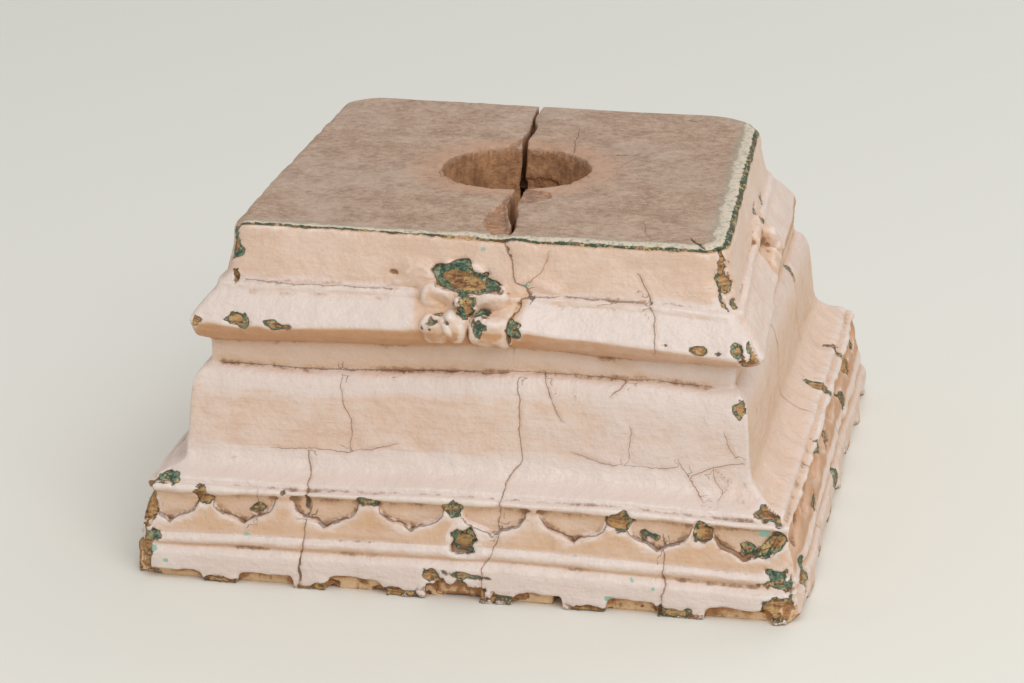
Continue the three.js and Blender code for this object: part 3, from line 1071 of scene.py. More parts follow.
def weathered(obj):
    """Sets the carved block by hand, wears it, and stores how creased and hollow each point is."""
    edges = get_edges(obj)
    points = eased(rounded_corners(get_points(obj)), edges)
    points[:, 2] += droop(points)
    points = petal_relief(broken_corners(hand_set(points)))
    set_points(obj, points)
    normals = get_normals(obj)

    room = top_room(points)
    top = smooth(154.6, 155.8, points[:, 2]) * smooth(0.5, 0.9, normals[:, 2])
    hole = (room > 3.0) & (points[:, 2] > HOLE_FLOOR_Z) & (top < 0.5)
    below = points[:, 2] < 0.4
    skin = np.where(below | hole, 0.0, 1.0 - top)

    shift = hand_wobble(points) * skin
    shift -= edge_wear(points, normals, edges) * skin
    shift -= loss_depth(points) * (1.0 - top)
    shift -= crack_depth(points) * np.maximum(skin, top)
    shift += top_relief(points, room) * top
    shift += np.where(hole, 0.4 * layered(points, (5.0, 5.0, 14.0), SEED + 11, 3), 0.0)

    points = points + normals * shift[:, None]
    points[:, 2] = np.maximum(points[:, 2], 0.0)
    set_points(obj, points)
    normals = get_normals(obj)
    crease = (averaged_offset(points, edges, 4) * normals).sum(axis=1)
    add_field(obj, "crease", averaged(crease, edges, 2))
    add_field(obj, "hollow", (averaged_offset(points, edges, 40) * normals).sum(axis=1))


def add_field(obj, name, values):
    """Stores one value per point for the material to read."""
    layer = obj.data.attributes.new(name, "FLOAT", "POINT")
    layer.data.foreach_set("value", values.astype(np.float32))


# How much of each notch under the foot is bare wood, on the front from left to right.
SCALLOP_WOOD_FRONT = [0.8, 1.0, 0.8, 1.0, 1.0, 0.7, 0.8]
SCALLOP_WOOD_OTHER = [0.9, 0.5, 0.8, 0.3, 0.9, 0.6, 0.8]

# Specks of an older turquoise paint on the front, as (across, up) and size.
FLECKS = [
    ((-118, 30.5), 2.4), ((-97, 23), 2), ((-134, 9.5), 1.8), ((-91, 11), 1.4),
    ((-58, 6), 1.6), ((66, 7), 2.2), ((85, 13), 1.4), ((98, 12), 1.6),
    ((3.5, 150.5), 1.6), ((23, 136), 1.4), ((-140, 14), 2), ((132, 40), 3), ((76, 16), 1.4),
]


# Dirt caught on the front: a path of (across, up), half width and strength.
SOIL = [
    ([(34, 92), (44, 89), (50, 88)], 6, 1),
    ([(-116, 93), (-92, 91), (-74, 91)], 1.6, 0.8),
    ([(-50, 92), (-30, 93.6), (0, 95.4), (18, 96.4)], 2, 1.2),
    ([(22, 97), (60, 96.4), (76, 97), (104, 95)], 1.4, 0.9),
    ([(-73, 94), (-72.6, 86)], 0.9, 0.8),
    ([(58, 106), (72, 101), (76, 97)], 2.4, 0.8),
    ([(20, 131), (52, 130.4), (78, 129.6)], 1.6, 0.8),
    ([(-100, 127), (-60, 127), (-36, 127.4)], 1.4, 0.6),
    ([(110, 60), (118, 54), (126, 50)], 7, 0.8),
    ([(-40, 139), (-34, 138)], 2, 1),
    ([(108, 70), (116, 66)], 3, 0.6),
]


def soil_field(points):
    """How much dirt is caught at each point of the front, and how much darker the paint is towards the bottom
    edge on every side.
    """
    front = side_of(points) == 0
    here = np.where(front & (-points[:, 1] > 90.0))[0]
    soil = np.zeros(len(points))
    for path, half, strength in SOIL:
        far = path_distance(points[here][:, [0, 2]], path)
        soil[here] = np.maximum(soil[here], strength * np.exp(-((far / half) ** 2)))
    level = points[:, 2] - droop(points)
    soil -= 0.5 * zone(level, 14.0, 16.0, 24.0, 26.0)
    return soil + 2.6 * (1.0 - smooth(0.8, 4.4, points[:, 2]))


def flower_mask(points):
    """One on the flowers, fading to zero around them."""
    across = np.where(np.abs(points[:, 0]) > np.abs(points[:, 1]), points[:, 1], points[:, 0])
    wide = 1.0 - smooth(22.0, 28.0, np.abs(across + 1.0))
    return wide * zone(points[:, 2], 109.0, 111.0, 132.0, 137.0)


def stain_and_shade_field(points, normals):
    """How brown the paint is: browner on the neck, along the leaves, in the groove, on the flowers and low on
    the right side; painted shade under the nose and on faces that look down; lighter on the ground between
    leaves, painted light against the shade there.
    """
    z = points[:, 2] - droop(points)
    under_nose = zone(z, 106.0, 107.6, 114.6, 116.8)
    neck = zone(z, 93.4, 95.0, 105.6, 107.4)
    leaves = zone(z, 24.4, 26.4, 40.0, 42.4)
    set_back = leaf_face(z) - np.abs(points[:, :2]).max(axis=1)
    ground = leaves * smooth(0.6, 1.8, set_back) * (1.0 - smooth(38.0, 41.0, z))
    groove = zone(z, 14.8, 16.4, 18.4, 20.6)
    downward = smooth(0.1, 0.8, -normals[:, 2]) * smooth(3.0, 8.0, z)
    petals = flower_mask(points)
    aside = (side_of(points) == 1) * (1.0 - smooth(70.0, 120.0, z))
    # Under the nose and on faces that look down this is painted shade; the ground between leaves is kept
    # lighter, painted light against its shade.
    stain_and_shade = 1.5 * under_nose + 0.35 * neck + 0.85 * leaves - 0.5 * ground + 0.55 * groove
    return np.clip(stain_and_shade + 0.4 * downward + 0.55 * aside + 0.5 * petals, -0.3, 1.5)


def notch_wood(points):
    """How much bare wood each point under the foot shows; zero elsewhere."""
    sides = side_of(points)
    out = np.zeros(len(points))
    for side in range(4):
        here = np.where(sides == side)[0]
        flat = turned(points[here], -side)
        shares = np.array(SCALLOP_WOOD_OTHER if side else SCALLOP_WOOD_FRONT)
        middles = SCALLOP_PLACES_OTHER if side else np.array([notch[0] for notch in SCALLOPS_FRONT])
        nearest = np.abs(flat[:, :1] - middles).argmin(axis=1)
        set_back = (-flat[:, 1] < FOOT_HALF - 2.2) & (flat[:, 2] < 9.0)
        out[here] = np.where(set_back, shares[nearest], 0.0)
    return out


def fleck_field(points):
    """How far inside a speck of turquoise paint each point of the front lies."""
    flecks = np.full(len(points), -20.0)
    for (across, up), size in FLECKS:
        flecks = np.maximum(flecks, size - np.hypot(points[:, 0] - across, (points[:, 2] - up) * 1.4))
    return np.where(side_of(points) == 0, flecks, -20.0)


def painted_sheen_field(points, normals):
    """Where a pale painted sheen lies: on faces that look up, along the foot and across the front's shaft,
    brighter to the right; weaker off the front and on the flowers.
    """
    z = points[:, 2]
    front = side_of(points) == 0
    painted_sheen = smooth(0.06, 0.42, normals[:, 2]) * (1.0 - smooth(132.0, 136.0, z))
    painted_sheen = np.maximum(painted_sheen, 0.85 * (1.0 - smooth(13.6, 15.6, z)))
    painted_sheen += (0.25 + 0.4 * smooth(0.0, 90.0, points[:, 0])) * zone(z, 50.0, 60.0, 120.0, 130.0) * front
    painted_sheen *= np.where(front, 1.0, 0.5) * (1.0 - 0.75 * flower_mask(points))
    return np.clip(painted_sheen, 0.0, 1.0)


def torn_field(points):
    """One where a chunk is broken out of the top."""
    torn = np.zeros(len(points))
    for outline, _ in TOP_BREAKS:
        torn = np.maximum(torn, smooth(-0.5, 1.0, inside_outline(points[:, :2], outline)))
    return torn * (top_room(points) > 1.0) * (points[:, 2] > 150.0)


def top_fields(points):
    """How far each point lies inside the bare top, and how much paint is left along the top's edges."""
    x, y, z = points.T
    front = smooth(-6.0, 6.0, -y - np.abs(x))
    right = smooth(-6.0, 6.0, x - np.abs(y))
    back = smooth(-6.0, 6.0, y - np.abs(x)) * smooth(20.0, 50.0, x)
    set_in = 2.2 * front * (1.0 - smooth(-90.0, 10.0, x))
    bare_top = top_room(points) - set_in - np.maximum(155.0 - z, 0.0)
    painted = 1.6 * right + front * (0.75 + 0.25 * smooth(-20.0, 60.0, x)) + 0.5 * back
    return bare_top, painted


def painted_fields(obj):
    """Stores where the paint is lost and cracked, how brown it is with painted shade, where painted sheen
    lies, and where the top is bare.
    """
    points = get_points(obj)
    normals = get_normals(obj)
    z = points[:, 2]
    wear, bare, _ = chip_fields(points)
    signed, far, widths = crack_fields(points)
    bare_top, painted_edge = top_fields(points)
    inside = (top_room(points) > 3.0) & (z > HOLE_FLOOR_Z) & (z < 154.2)
    fields = {
        "wear": wear,
        "bare": bare,
        "crack": signed,
        "crack_far": far,
        "crack_wide": widths,
        "top": bare_top,
        "fringe": painted_edge,
        "inside": inside.astype(float),
        "torn": torn_field(points),
        "notch": notch_wood(points),
        "rim": 1.0 - smooth(1.0, 31.0, mortise_gap(points)),
        "stain_and_shade": stain_and_shade_field(points, normals),
        "soil": soil_field(points),
        "fleck": fleck_field(points),
        "painted_sheen": painted_sheen_field(points, normals),
    }
    for name, values in fields.items():
        add_field(obj, name, values)


# Materials.


class Wire:
    """A node socket with arithmetic; each operation adds a Math node."""

    def __init__(self, tree, socket):
        self.tree = tree
        self.socket = socket

    def make(self, kind, inputs=None, output=0, **settings):
        """Adds any node, feeds its inputs and gives back one of its outputs."""
        node = self.tree.nodes.new(kind)
        for name, value in settings.items():
            setattr(node, name, value)
        for key, value in (inputs or {}).items():
            if isinstance(value, Wire):
                self.tree.links.new(value.socket, node.inputs[key])
            else:
                node.inputs[key].default_value = value
        return Wire(self.tree, node.outputs[output] if len(node.outputs) else None)

    def math(self, operation, *values):
        """Adds a Math node fed by values."""
        return self.make("ShaderNodeMath", dict(enumerate(values)), operation=operation)

    def __add__(self, other):
        return self.math("ADD", self, other)

    def __radd__(self, other):
        return self.math("ADD", other, self)

    def __sub__(self, other):
        return self.math("SUBTRACT", self, other)

    def __rsub__(self, other):
        return self.math("SUBTRACT", other, self)

    def __mul__(self, other):
        return self.math("MULTIPLY", self, other)

    def __rmul__(self, other):
        return self.math("MULTIPLY", other, self)

    def __truediv__(self, other):
        return self.math("DIVIDE", self, other)

    def __rtruediv__(self, other):
        return self.math("DIVIDE", other, self)

    def __neg__(self):
        return self.math("MULTIPLY", self, -1.0)

    def __abs__(self):
        return self.math("ABSOLUTE", self)

    def step(self, low, high):
        """A soft step from 0 at low to 1 at high."""
        ranges = {"Value": self, "From Min": low, "From Max": high, "To Min": 0.0, "To Max": 1.0}
        return self.make("ShaderNodeMapRange", ranges, interpolation_type="SMOOTHSTEP", clamp=True)

    def blend(self, first, second):
        """Mixes two colours, with this socket as the share of the second."""
        return self.make("ShaderNodeMix", {0: self, 6: first, 7: second}, output=2, data_type="RGBA")


class Palette:
    """The places and noises that a material is made from."""

    def __init__(self, material):
        material.use_nodes = True
        self.tree = material.node_tree
        self.tree.nodes.clear()
        self.start = Wire(self.tree, None)
        self.place = self.start.make("ShaderNodeTexCoord", output="Object")

    def field(self, name):
        """A value stored on the mesh's points."""
        return self.start.make("ShaderNodeAttribute", output="Fac", attribute_name=name)

    def noise(self, size, detail=2.0, roughness=0.5, stretch=(1.0, 1.0, 1.0)):
        """Noise about zero, with lumps of the given size in millimetres."""
        scaled = self.start.make(
            "ShaderNodeVectorMath", {0: self.place, 1: stretch}, operation="MULTIPLY"
        )
        inputs = {"Vector": scaled, "Scale": 1.0 / (size * MM), "Detail": detail, "Roughness": roughness}
        return self.start.make("ShaderNodeTexNoise", inputs) - 0.5

    def finish(self, inputs):
        """Makes the surface from the values and links of its sockets."""
        shader = self.start.make("ShaderNodeBsdfPrincipled", inputs)
        self.start.make("ShaderNodeOutputMaterial", {"Surface": shader})


def linear(rgb):
    """A colour given as screen values from 0 to 255, as scene values."""
    values = [c / 255.0 for c in rgb]
    return [c / 12.92 if c <= 0.04045 else ((c + 0.055) / 1.055) ** 2.4 for c in values] + [1.0]


class OldWood(Palette):
    """The noises and stored fields that more than one layer of the old painted wood uses."""

    def __init__(self, material):
        super().__init__(material)
        self.fine = self.noise(1.3, 4.0, 0.66)
        self.small = self.noise(4.0, 4.0, 0.6)
        self.medium = self.noise(14.0, 4.0, 0.58)
        self.broad = self.noise(55.0, 2.0)
        self.fibre = self.noise(2.2, 4.0, 0.65, (1.0, 1.0, 0.16))
        self.brush = self.noise(1.8, 3.0, 0.6, (0.11, 0.11, 1.0))
        self.sawn = self.noise(1.6, 5.0, 0.7, (0.6, 1.0, 0.6))
        self.speck = self.noise(0.9, 2.0, 0.6)
        self.grain = self.noise(1.5, 4.0, 0.7, (0.25, 0.25, 1.0))
        self.crease = self.field("crease")
        self.hollow = self.field("hollow")
        self.soil = self.field("soil")
        self.top = self.field("top")
        self.fringe = self.field("fringe")


def pink_paint(old, colours):
    """The top coat: its colour, with painted sheen, painted highlights and painted shade in it; how brown it
    is, partly painted shade; and its pits.
    """
    fine, small, medium, brush = old.fine, old.small, old.medium, old.brush
    brown = old.field("stain_and_shade")
    # Painted shade in hollows and creases, with the listed dirt, browns the paint.
    shade_and_dirt = old.hollow * 0.32 + old.crease * 1.2 + old.soil * 0.55
    stain_and_shade = (brown + shade_and_dirt + medium * 1.0 + small * 0.8 + brush * 0.3).step(0.1, 0.95)
    # Strongest under the nose, where the deep brown is painted shade.
    deep_stain_and_shade = (brown * 1.1 + shade_and_dirt * 0.9 + medium * 0.9 + small * 0.8 - 0.75).step(0.0, 0.8)
    # Pale painted sheen on ledges, along the foot and on the front's shaft.
    painted_sheen = (old.field("painted_sheen") + medium * 0.6 + small * 0.4 + brush * 0.5 - shade_and_dirt * 0.4).step(0.05, 0.95)
    mottle = old.broad * 1.2 + medium * 1.1 + small * 0.7 + brush * 0.4 + fine * 0.9 + 0.45
    paint = mottle.step(0.05, 0.95).blend(colours.paint, colours.paint_pale)
    paint = (painted_sheen * 0.85).blend(paint, colours.painted_sheen)
    paint = (stain_and_shade * (1.0 - painted_sheen * 0.6) * 0.8).blend(paint, colours.tan)
    paint = (deep_stain_and_shade * (1.0 - painted_sheen * 0.5) * 0.85).blend(paint, colours.stain_and_shade)
    worn = ((small + brush * 0.4 + fine * 1.0).step(0.26, 0.5) * 0.55).blend(paint, colours.tan)
    paint = (medium + old.broad * 0.6).step(-0.1, 0.25).blend(paint, worn)
    # A pale painted highlight along convex edges.
    edge_highlight = (-old.crease * 7.5 + small * 0.8 + fine * 0.8 - 0.5).step(0.0, 0.8)
    paint = (edge_highlight * 0.4).blend(paint, colours.edge)
    pits = (old.speck * 1.4 + small * 0.8 + medium * 0.5 + old.soil * 0.2).step(0.46, 0.66)
    paint = (pits * 0.65).blend(paint, colours.dirt_and_shade)
    # Darker in creases and hollows: dirt and painted shade.
    crease_shade_and_dirt = old.crease * 5.4 + old.hollow * 0.12 + old.soil * 0.52
    dirt_and_shade = (crease_shade_and_dirt + small * 1.4 + medium * 1.0 + fine * 0.9 - 0.5).step(0.0, 0.7)
    paint = (dirt_and_shade * 0.85).blend(paint, colours.dirt_and_shade)
    paint = (old.field("fleck") + fine * 1.6).step(-0.1, 0.2).blend(paint, colours.fleck)
    return paint, stain_and_shade, pits


def green_undercoat(old, colours):
    """The older green paint, with ochre and dark patches."""
    fine, small = old.fine, old.small
    under = (small * 1.8 + fine * 1.8 + 0.45).step(0.2, 0.8).blend(colours.under_dark, colours.under)
    under = (old.noise(5.0, 4.0, 0.65) * 1.4 + fine * 1.2).step(0.08, 0.25).blend(under, colours.ochre)
    return ((small - fine * 1.2).step(0.2, 0.34) * 0.7).blend(under, colours.wood_dark)


def bare_wood(old, colours, is_notch):
    """The wood in the paint losses, and the cleaner wood in the notches of the foot."""
    small, medium, fibre, grain = old.small, old.medium, old.fibre, old.grain
    figure = grain * 1.8 + fibre * 1.2 + medium * 0.8 + 0.5
    wood = figure.step(0.05, 0.85).blend(colours.wood_dark, colours.wood)
    wood = ((grain * 1.4 + small * 1.6).step(0.0, 0.24) * 0.6).blend(wood, colours.ochre)
    wood = (fibre * 1.2 + old.speck * 1.2 + small * 0.8).step(0.24, 0.46).blend(wood, colours.crack)
    # Painted shade: bare wood darkened deep in hollows.
    wood = (old.hollow.step(1.1, 2.2) * 0.75).blend(wood, colours.crack)
    # Clean notch wood goes brown along its creases: stain and painted shade.
    clean = (medium * 1.2 + small * 1.4 - old.crease * 5.0 + 0.6).step(0.1, 0.7)
    clean = clean.blend(colours.stain_and_shade, colours.clean_wood)
    return (is_notch * (small * 1.2 + medium * 1.2 + 0.55).step(0.1, 0.6)).blend(wood, clean)


def bored_wood(old, colours):
    """The wood inside the mortise and the split, darkened with painted shade where it lies deeper in."""
    figure = old.fibre * 0.6 + old.medium * 1.2 + old.small * 0.8 + 0.5
    bore = figure.step(0.0, 1.0).blend(colours.bore_dark, colours.bore)
    return (old.hollow.step(0.25, 1.3) * 0.6).blend(bore, colours.crack)


def end_grain(old, colours):
    """The bare top, redder round the mortise, with what is left of paint along its edges."""
    fine, small, medium, sawn, speck = old.fine, old.small, old.medium, old.sawn, old.speck
    ends = sawn * 0.9 + medium * 0.55 + speck * 0.5 + small * 0.6 + 0.45
    ends = ends.step(0.0, 1.0).blend(colours.top_dark, colours.top)
    grey = (old.broad * 2.2 + medium * 1.0 + small * 0.8).step(-0.3, 0.5)
    ends = (grey * 0.4).blend(ends, colours.top_grey)
    ends = ((old.field("rim") + medium * 0.8 + small * 0.8).step(0.3, 1.0) * 0.5).blend(ends, colours.top_red)
    ends = (small * 1.0 + speck * 1.2 + sawn * 0.9).step(0.55, 0.9).blend(ends, colours.top_dark)
    band = edge_band(old, colours, ends)
    painted = old.fringe.step(0.1, 0.6)
    fade = 1.0 - (old.top + medium * 5.0 + small * 3.0 - old.fringe * 6.0).step(-3.0, 4.0)
    ends = (fade * painted * 0.6).blend(ends, colours.top_green)
    left = old.top - old.fringe * 5.0 + medium * 9.0 + small * 8.0 + fine * 3.0
    flakes = (1.0 - left.step(-0.6, 0.8)) * painted
    chalk = (small * 1.2 + fine * 1.2 + 0.5).step(0.1, 0.6).blend(colours.top_green, colours.cream)
    return (flakes * 0.9).blend(ends, chalk), band


def edge_band(old, colours, ends):
    """The band of broken undercoat where the paint stops at the top."""
    fine, small, medium = old.fine, old.small, old.medium
    band = (small * 1.8 + fine * 1.8).step(0.0, 0.3).blend(colours.under_dark, colours.ochre)
    band = (small * 1.4 + medium * 1.4 + fine * 0.6).step(0.1, 0.3).blend(band, colours.wood_dark)
    return old.fringe.step(0.1, 0.5).blend(ends, band)


def torn_wood(old, colours):
    """The wood where chunks are broken out of the top."""
    figure = old.sawn * 1.6 + old.small * 1.4 + old.medium * 0.8 + 0.3
    return figure.step(0.0, 0.9).blend(colours.top_dark, colours.top_red)


def crack_masks(old, wide):
    """Where a crack is open, and where the paint beside it is stained."""
    fine, small, medium = old.fine, old.small, old.medium
    far = old.field("crack_far")
    across = abs(old.field("crack") + medium * 2.4 + small * 1.6 + fine * 0.7) / (wide * 0.65 + 0.04)
    is_crack = (1.0 - across.step(0.7, 1.5)) * (1.0 - far.step(1.6, 2.6))
    is_crack = is_crack * (wide * 1.4 + medium * 1.6 + small * 1.4 + 0.5).step(0.05, 0.7)
    beside = (1.0 - far.step(0.2, 2.2)) * (small * 1.2 + medium * 1.2 + 0.35).step(0.0, 0.8)
    return is_crack, beside


def painted_wood(colours):
    """Old pink paint over green over wood, with a bare end-grain top."""
    material = bpy.data.materials.new("painted_wood")
    old = OldWood(material)
    fine, small, medium = old.fine, old.small, old.medium
    paint, stain_and_shade, pits = pink_paint(old, colours)

    wear = old.field("wear") + fine * 1.2 + small * 1.2 - 0.25
    is_under = wear.step(-0.1, 0.15)
    notch = old.field("notch")
    in_notch = notch.step(0.05, 0.2)
    bared = notch + (medium + small) * 0.9
    is_notch = bared.step(0.42, 0.52) * in_notch
    is_wood = (old.field("bare") + fine * 2.2 + small * 1.6 + 0.6).step(0.0, 0.3)
    is_wood = is_wood.math("MAXIMUM", is_wood, is_notch)
    # A dark painted shadow along the step where the paint is lost.
    chip_edge_shadow = (1.0 - abs(wear - 0.1).step(0.15, 0.5)) * (small * 1.4 + medium * 1.2 + 0.6).step(0.0, 0.5)
    notch_line = (1.0 - abs(bared - 0.46).step(0.03, 0.12)) * in_notch
    wide = old.field("crack_wide")
    is_crack, beside_crack = crack_masks(old, wide)

    colour = (beside_crack * 0.4).blend(paint, colours.stain_and_shade)
    colour = is_under.blend(colour, green_undercoat(old, colours))
    colour = is_wood.blend(colour, bare_wood(old, colours, is_notch))
    colour = (chip_edge_shadow * 0.55 + notch_line * 0.6).blend(colour, colours.wood_dark)

    ends, band = end_grain(old, colours)
    edge = old.top + small * 2.8 + medium * 1.6 + fine * 1.0
    colour = (edge.step(-1.6, -0.6) * 0.6).blend(colour, colours.stain_and_shade)
    strip = edge.step(-0.5, -0.1) * (small * 2.0 + medium * 2.0 + old.fringe * 0.6).step(0.0, 0.5)
    colour = strip.blend(colour, band)
    colour = (edge - old.fringe * 1.8).step(0.0, 0.5).blend(colour, ends)
    is_torn = (old.field("torn") + small * 0.8 + medium * 0.6).step(0.25, 0.55)
    colour = is_torn.blend(colour, torn_wood(old, colours))
    colour = old.field("inside").blend(colour, bored_wood(old, colours))
    colour = (is_crack * wide.step(0.0, 0.7) * 0.45 + is_crack * 0.36).blend(colour, colours.crack)

    is_top = edge.step(-0.5, 0.0)
    dull = is_wood.math("MAXIMUM", is_wood, is_top)
    roughness = dull * 0.42 + 0.36 + old.brush * 0.16 + stain_and_shade * 0.12
    height = old.brush * 0.3 + medium * 1.9 + small * 0.55 + fine * 0.14 - pits * 0.4
    height = height * (1.0 - dull) + is_wood * (old.fibre * 1.0 + old.grain * 0.9)
    height = height + is_top * (old.sawn * 0.9 + old.speck * 0.15 + small * 0.9 + medium * 0.8)
    height = height - is_under * 0.5 - is_crack * 0.6
    bump = old.start.make("ShaderNodeBump", {"Height": height, "Strength": 1.0, "Distance": MM})
    old.finish({"Base Color": colour, "Roughness": roughness, "Normal": bump, "Specular IOR Level": 0.5})
    return material


def plain(name, colour, roughness):
    """A plain material for the stage."""
    material = bpy.data.materials.new(name)
    Palette(material).finish({"Base Color": colour, "Roughness": roughness, "Specular IOR Level": 0.3})
    return material


# The add-on: settings, operators and panel.


def colour_property(name, description, rgb):
    """A colour setting whose default is given as screen values."""
    return bpy.props.FloatVectorProperty(
        name=name, description=description, subtype="COLOR", size=4, min=0.0, max=1.0, default=linear(rgb)
    )


class ColumnBaseSizes(bpy.types.PropertyGroup):
    """Sizes of the column base."""

    mortise_radius: bpy.props.FloatProperty(
        name="Mortise radius",
        description="Radius of the round hole",
        default=MORTISE["radius"] * MM,
        unit="LENGTH",
    )
    mortise_depth: bpy.props.FloatProperty(
        name="Mortise depth",
        description="Depth of the round hole",
        default=MORTISE["depth"] * MM,
        unit="LENGTH",
    )
    mortise_place: bpy.props.FloatVectorProperty(
        name="Mortise place",
        description="Middle of the round hole",
        size=2,
        default=(MORTISE["x"] * MM, MORTISE["y"] * MM),
        unit="LENGTH",
    )
    detail: bpy.props.FloatProperty(
        name="Detail",
        description="Size of the cells the carving is worked in",
        default=0.0009,
        unit="LENGTH",
    )
    triangles: bpy.props.IntProperty(
        name="Triangles", description="Triangles of the finished piece", default=194000
    )


class ColumnBaseColours(bpy.types.PropertyGroup):
    """Colours of the paint and wood, and of the painted sheen, highlights and shade."""

    paint: colour_property("Paint", "Pink top coat", (218, 185, 162))
    paint_pale: colour_property("Pale paint", "Pink top coat where it is paler", (226, 200, 182))
    # The pale colour of the painted sheen.
    painted_sheen: colour_property("Bloom", "Chalky bleached paint", (224, 208, 200))
    # Tan for yellowed paint, and for painted shade where the brown mask puts it.
    tan: colour_property("Tan paint", "Paint that has yellowed", (210, 170, 132))
    clean_wood: colour_property("Clean wood", "Wood in the notches of the foot", (238, 202, 158))
    # Brown for stains, and for painted shade under the nose and in creases.
    stain_and_shade: colour_property("Stain", "Paint that has gone brown", (192, 138, 94))
    # Dark colour for pits, dirt, and painted shade in creases and hollows.
    dirt_and_shade: colour_property("Dirt", "Dirt in the hollows", (128, 90, 60))
    fleck: colour_property("Fleck", "Specks of turquoise paint", (152, 188, 172))
    under: colour_property("Undercoat", "Green undercoat", (122, 144, 116))
    under_dark: colour_property("Dark undercoat", "Dark green undercoat", (52, 76, 60))
    ochre: colour_property("Ochre", "Ochre ground and pale wood", (206, 172, 116))
    cream: colour_property("Cream", "Cream paint at the edge of the top", (228, 212, 190))
    wood: colour_property("Wood", "Bare wood in the paint losses", (196, 150, 100))
    # Dark grain, also used for the painted shadow at the edges of paint losses.
    wood_dark: colour_property("Dark wood", "Dark grain of the bare wood", (106, 70, 44))
    top: colour_property("Top", "Bare top", (217, 186, 161))
    top_dark: colour_property("Dark top", "Darker grain of the bare top", (144, 112, 92))
    top_grey: colour_property("Grey top", "Greyed wood of the bare top", (200, 177, 159))
    top_green: colour_property("Green top", "Green stain along the edge of the top", (156, 156, 136))
    top_red: colour_property("Red top", "Redder wood of the bare top", (202, 154, 122))
    bore: colour_property("Bore", "Wood inside the hole", (212, 160, 116))
    bore_dark: colour_property("Dark bore", "Darker wood inside the hole", (136, 96, 66))
    # The pale colour of the painted highlight along convex edges.
    edge: colour_property("Edge", "Paint rubbed pale along edges", (236, 224, 214))
    # Dark colour of open cracks, also painted as shade deep in bare-wood hollows and in the mortise.
    crack: colour_property("Crack", "Open cracks", (74, 50, 34))


class ColumnBaseStage(bpy.types.PropertyGroup):
    """The floor, lights and camera."""

    floor: colour_property("Floor", "Pale floor", (232, 229, 220))
    azimuth: bpy.props.FloatProperty(
        name="Azimuth",
        description="Camera turn round the object",
        default=math.radians(11.3),
        subtype="ANGLE",
    )
    elevation: bpy.props.FloatProperty(
        name="Elevation", description="Camera height angle", default=math.radians(19.5), subtype="ANGLE"
    )
    roll: bpy.props.FloatProperty(
        name="Roll", description="Camera roll", default=math.radians(-0.25), subtype="ANGLE"
    )
    distance: bpy.props.FloatProperty(
        name="Distance", description="Camera distance", default=1.522, unit="LENGTH"
    )
    shift: bpy.props.FloatVectorProperty(
        name="Shift",
        description="Camera moved right and up",
        size=2,
        default=(-0.0062, 0.0651),
        unit="LENGTH",
    )
    lens: bpy.props.FloatProperty(name="Lens", description="Camera lens in millimetres", default=110.74)


class OBJECT_OT_carved_column_base(bpy.types.Operator):
    """Models the carved column base and gives it its finish"""

    bl_idname = "object.carved_column_base"
    bl_label = "Carved column base"

    def execute(self, context):
        sizes = context.scene.column_base_sizes
        rng = np.random.default_rng(SEED)
        block = moulded_block()
        cutters = side_cutters(rng)
        cutters.append(mortise_cutter(sizes))
        cutters += [split_cutter(path, depth) for path, depth in SPLITS]
        carved(block, cutters)
        block = joined([block, *flower_lumps()])
        applied(block, "REMESH", mode="VOXEL", voxel_size=sizes.detail, use_smooth_shade=True)
        without_bubbles(block)
        applied(block, "SMOOTH", factor=0.5, iterations=1)
        weathered(block)
        block.data.calc_loop_triangles()
        ratio = min(1.0, sizes.triangles / len(block.data.loop_triangles))
        applied(block, "DECIMATE", ratio=ratio, use_collapse_triangulate=True)
        painted_fields(block)
        only(block)
        bpy.ops.object.shade_smooth()
        block.data.materials.clear()
        block.data.materials.append(painted_wood(context.scene.column_base_colours))
        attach(block, "root")
        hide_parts("column_base")
        return {"FINISHED"}


# Square area lights: name, place, size, power and tint. They aim at the middle of the base.
LIGHTS = [
    ("key", (1.0, -1.7, 2.3), 2.6, 56.0, (1.0, 0.985, 0.96)),
    ("rear", (1.2, 2.2, 1.8), 2.0, 14.0, (1.0, 0.99, 0.97)),
]
LIGHT_AIM = Vector((0.0, 0.0, 0.06))
SKY_TINT = (0.95, 0.98, 1.0, 1.0)
SKY_STRENGTH = 0.52
FLOOR_SIZE = 14.0
FLOOR_ROUGHNESS = 0.6
SENSOR_WIDTH = 36.0


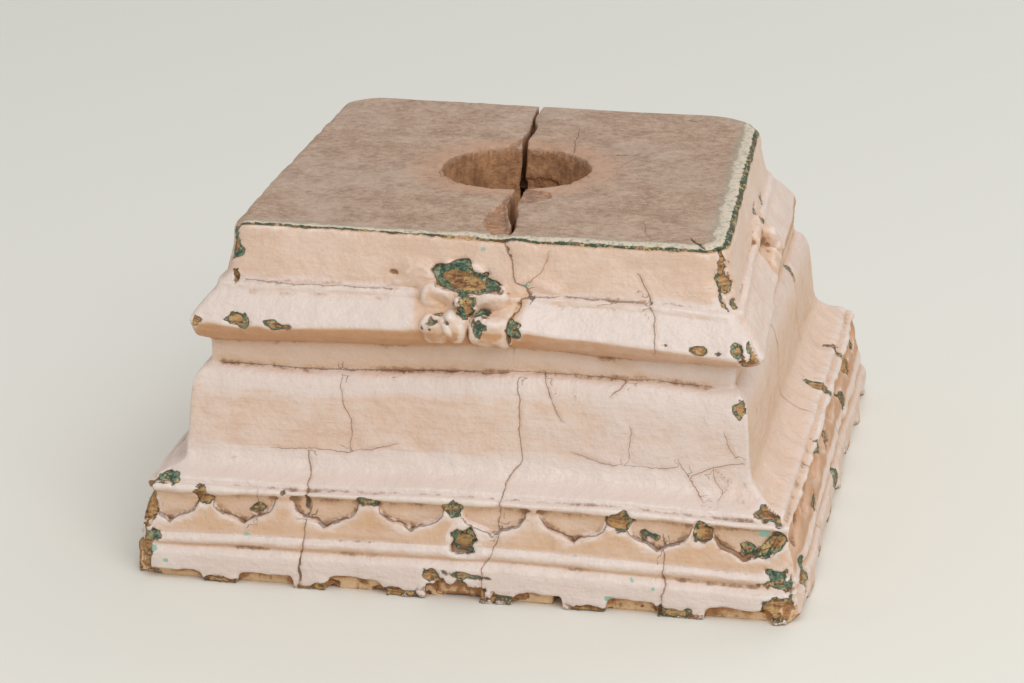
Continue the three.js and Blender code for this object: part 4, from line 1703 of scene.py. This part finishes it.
class OBJECT_OT_column_base_stage(bpy.types.Operator):
    """Adds the floor, the lights and the camera"""

    bl_idname = "object.column_base_stage"
    bl_label = "Stage"

    def execute(self, context):
        setup = context.scene.column_base_stage
        scene = context.scene
        bpy.ops.object.select_all(action="DESELECT")
        bpy.ops.mesh.primitive_plane_add(size=FLOOR_SIZE)
        floor = context.object
        floor.name = "floor"
        floor.data.materials.append(plain("floor", setup.floor, FLOOR_ROUGHNESS))
        for light in LIGHTS:
            self.light(context, *light)
        world = bpy.data.worlds.new("studio")
        world.use_nodes = True
        sky = world.node_tree.nodes["Background"]
        sky.inputs["Color"].default_value = SKY_TINT
        sky.inputs["Strength"].default_value = SKY_STRENGTH
        scene.world = world
        scene.view_settings.view_transform = "Standard"
        self.camera(context, setup)
        return {"FINISHED"}

    def light(self, context, name, place, size, power, tint):
        """Adds one soft light."""
        bpy.ops.object.light_add(type="AREA", location=place)
        lamp = context.object
        lamp.name = name
        lamp.data.shape = "SQUARE"
        lamp.data.size = size
        lamp.data.energy = power
        lamp.data.color = tint
        way = LIGHT_AIM - Vector(place)
        lamp.rotation_euler = way.to_track_quat("-Z", "Y").to_euler()

    def camera(self, context, setup):
        """Adds the camera, turned about the base and then moved in its own plane."""
        a, e = setup.azimuth, setup.elevation
        back = Vector((math.sin(a) * math.cos(e), -math.cos(a) * math.cos(e), math.sin(e)))
        right = Vector((math.cos(a), math.sin(a), 0.0))
        up = Vector((-math.sin(a) * math.sin(e), math.cos(a) * math.sin(e), math.cos(e)))
        place = right * setup.shift[0] + up * setup.shift[1] + back * setup.distance
        rolled_right = right * math.cos(setup.roll) + up * math.sin(setup.roll)
        rolled_up = up * math.cos(setup.roll) - right * math.sin(setup.roll)
        turn = Matrix((rolled_right, rolled_up, back)).transposed()
        bpy.ops.object.camera_add(location=place, rotation=turn.to_euler())
        camera = context.object
        camera.data.lens = setup.lens
        camera.data.sensor_width = SENSOR_WIDTH
        camera.data.clip_end = 50.0
        context.scene.camera = camera


class VIEW3D_PT_column_base(bpy.types.Panel):
    """Lists the operators"""

    bl_label = "Column base"
    bl_idname = "VIEW3D_PT_column_base"
    bl_space_type = "VIEW_3D"
    bl_region_type = "UI"
    bl_category = "Column base"

    def draw(self, context):
        for step in (OBJECT_OT_carved_column_base, OBJECT_OT_column_base_stage):
            self.layout.operator(step.bl_idname)


CLASSES = (
    ColumnBaseSizes,
    ColumnBaseColours,
    ColumnBaseStage,
    OBJECT_OT_carved_column_base,
    OBJECT_OT_column_base_stage,
    VIEW3D_PT_column_base,
)


def register():
    for cls in CLASSES:
        bpy.utils.register_class(cls)
    bpy.types.Scene.column_base_sizes = bpy.props.PointerProperty(type=ColumnBaseSizes)
    bpy.types.Scene.column_base_colours = bpy.props.PointerProperty(type=ColumnBaseColours)
    bpy.types.Scene.column_base_stage = bpy.props.PointerProperty(type=ColumnBaseStage)


def unregister():
    del bpy.types.Scene.column_base_stage
    del bpy.types.Scene.column_base_colours
    del bpy.types.Scene.column_base_sizes
    for cls in reversed(CLASSES):
        bpy.utils.unregister_class(cls)


def main():
    register()
    bpy.ops.object.carved_column_base()
    bpy.ops.object.column_base_stage()


if __name__ == "__main__":
    main()
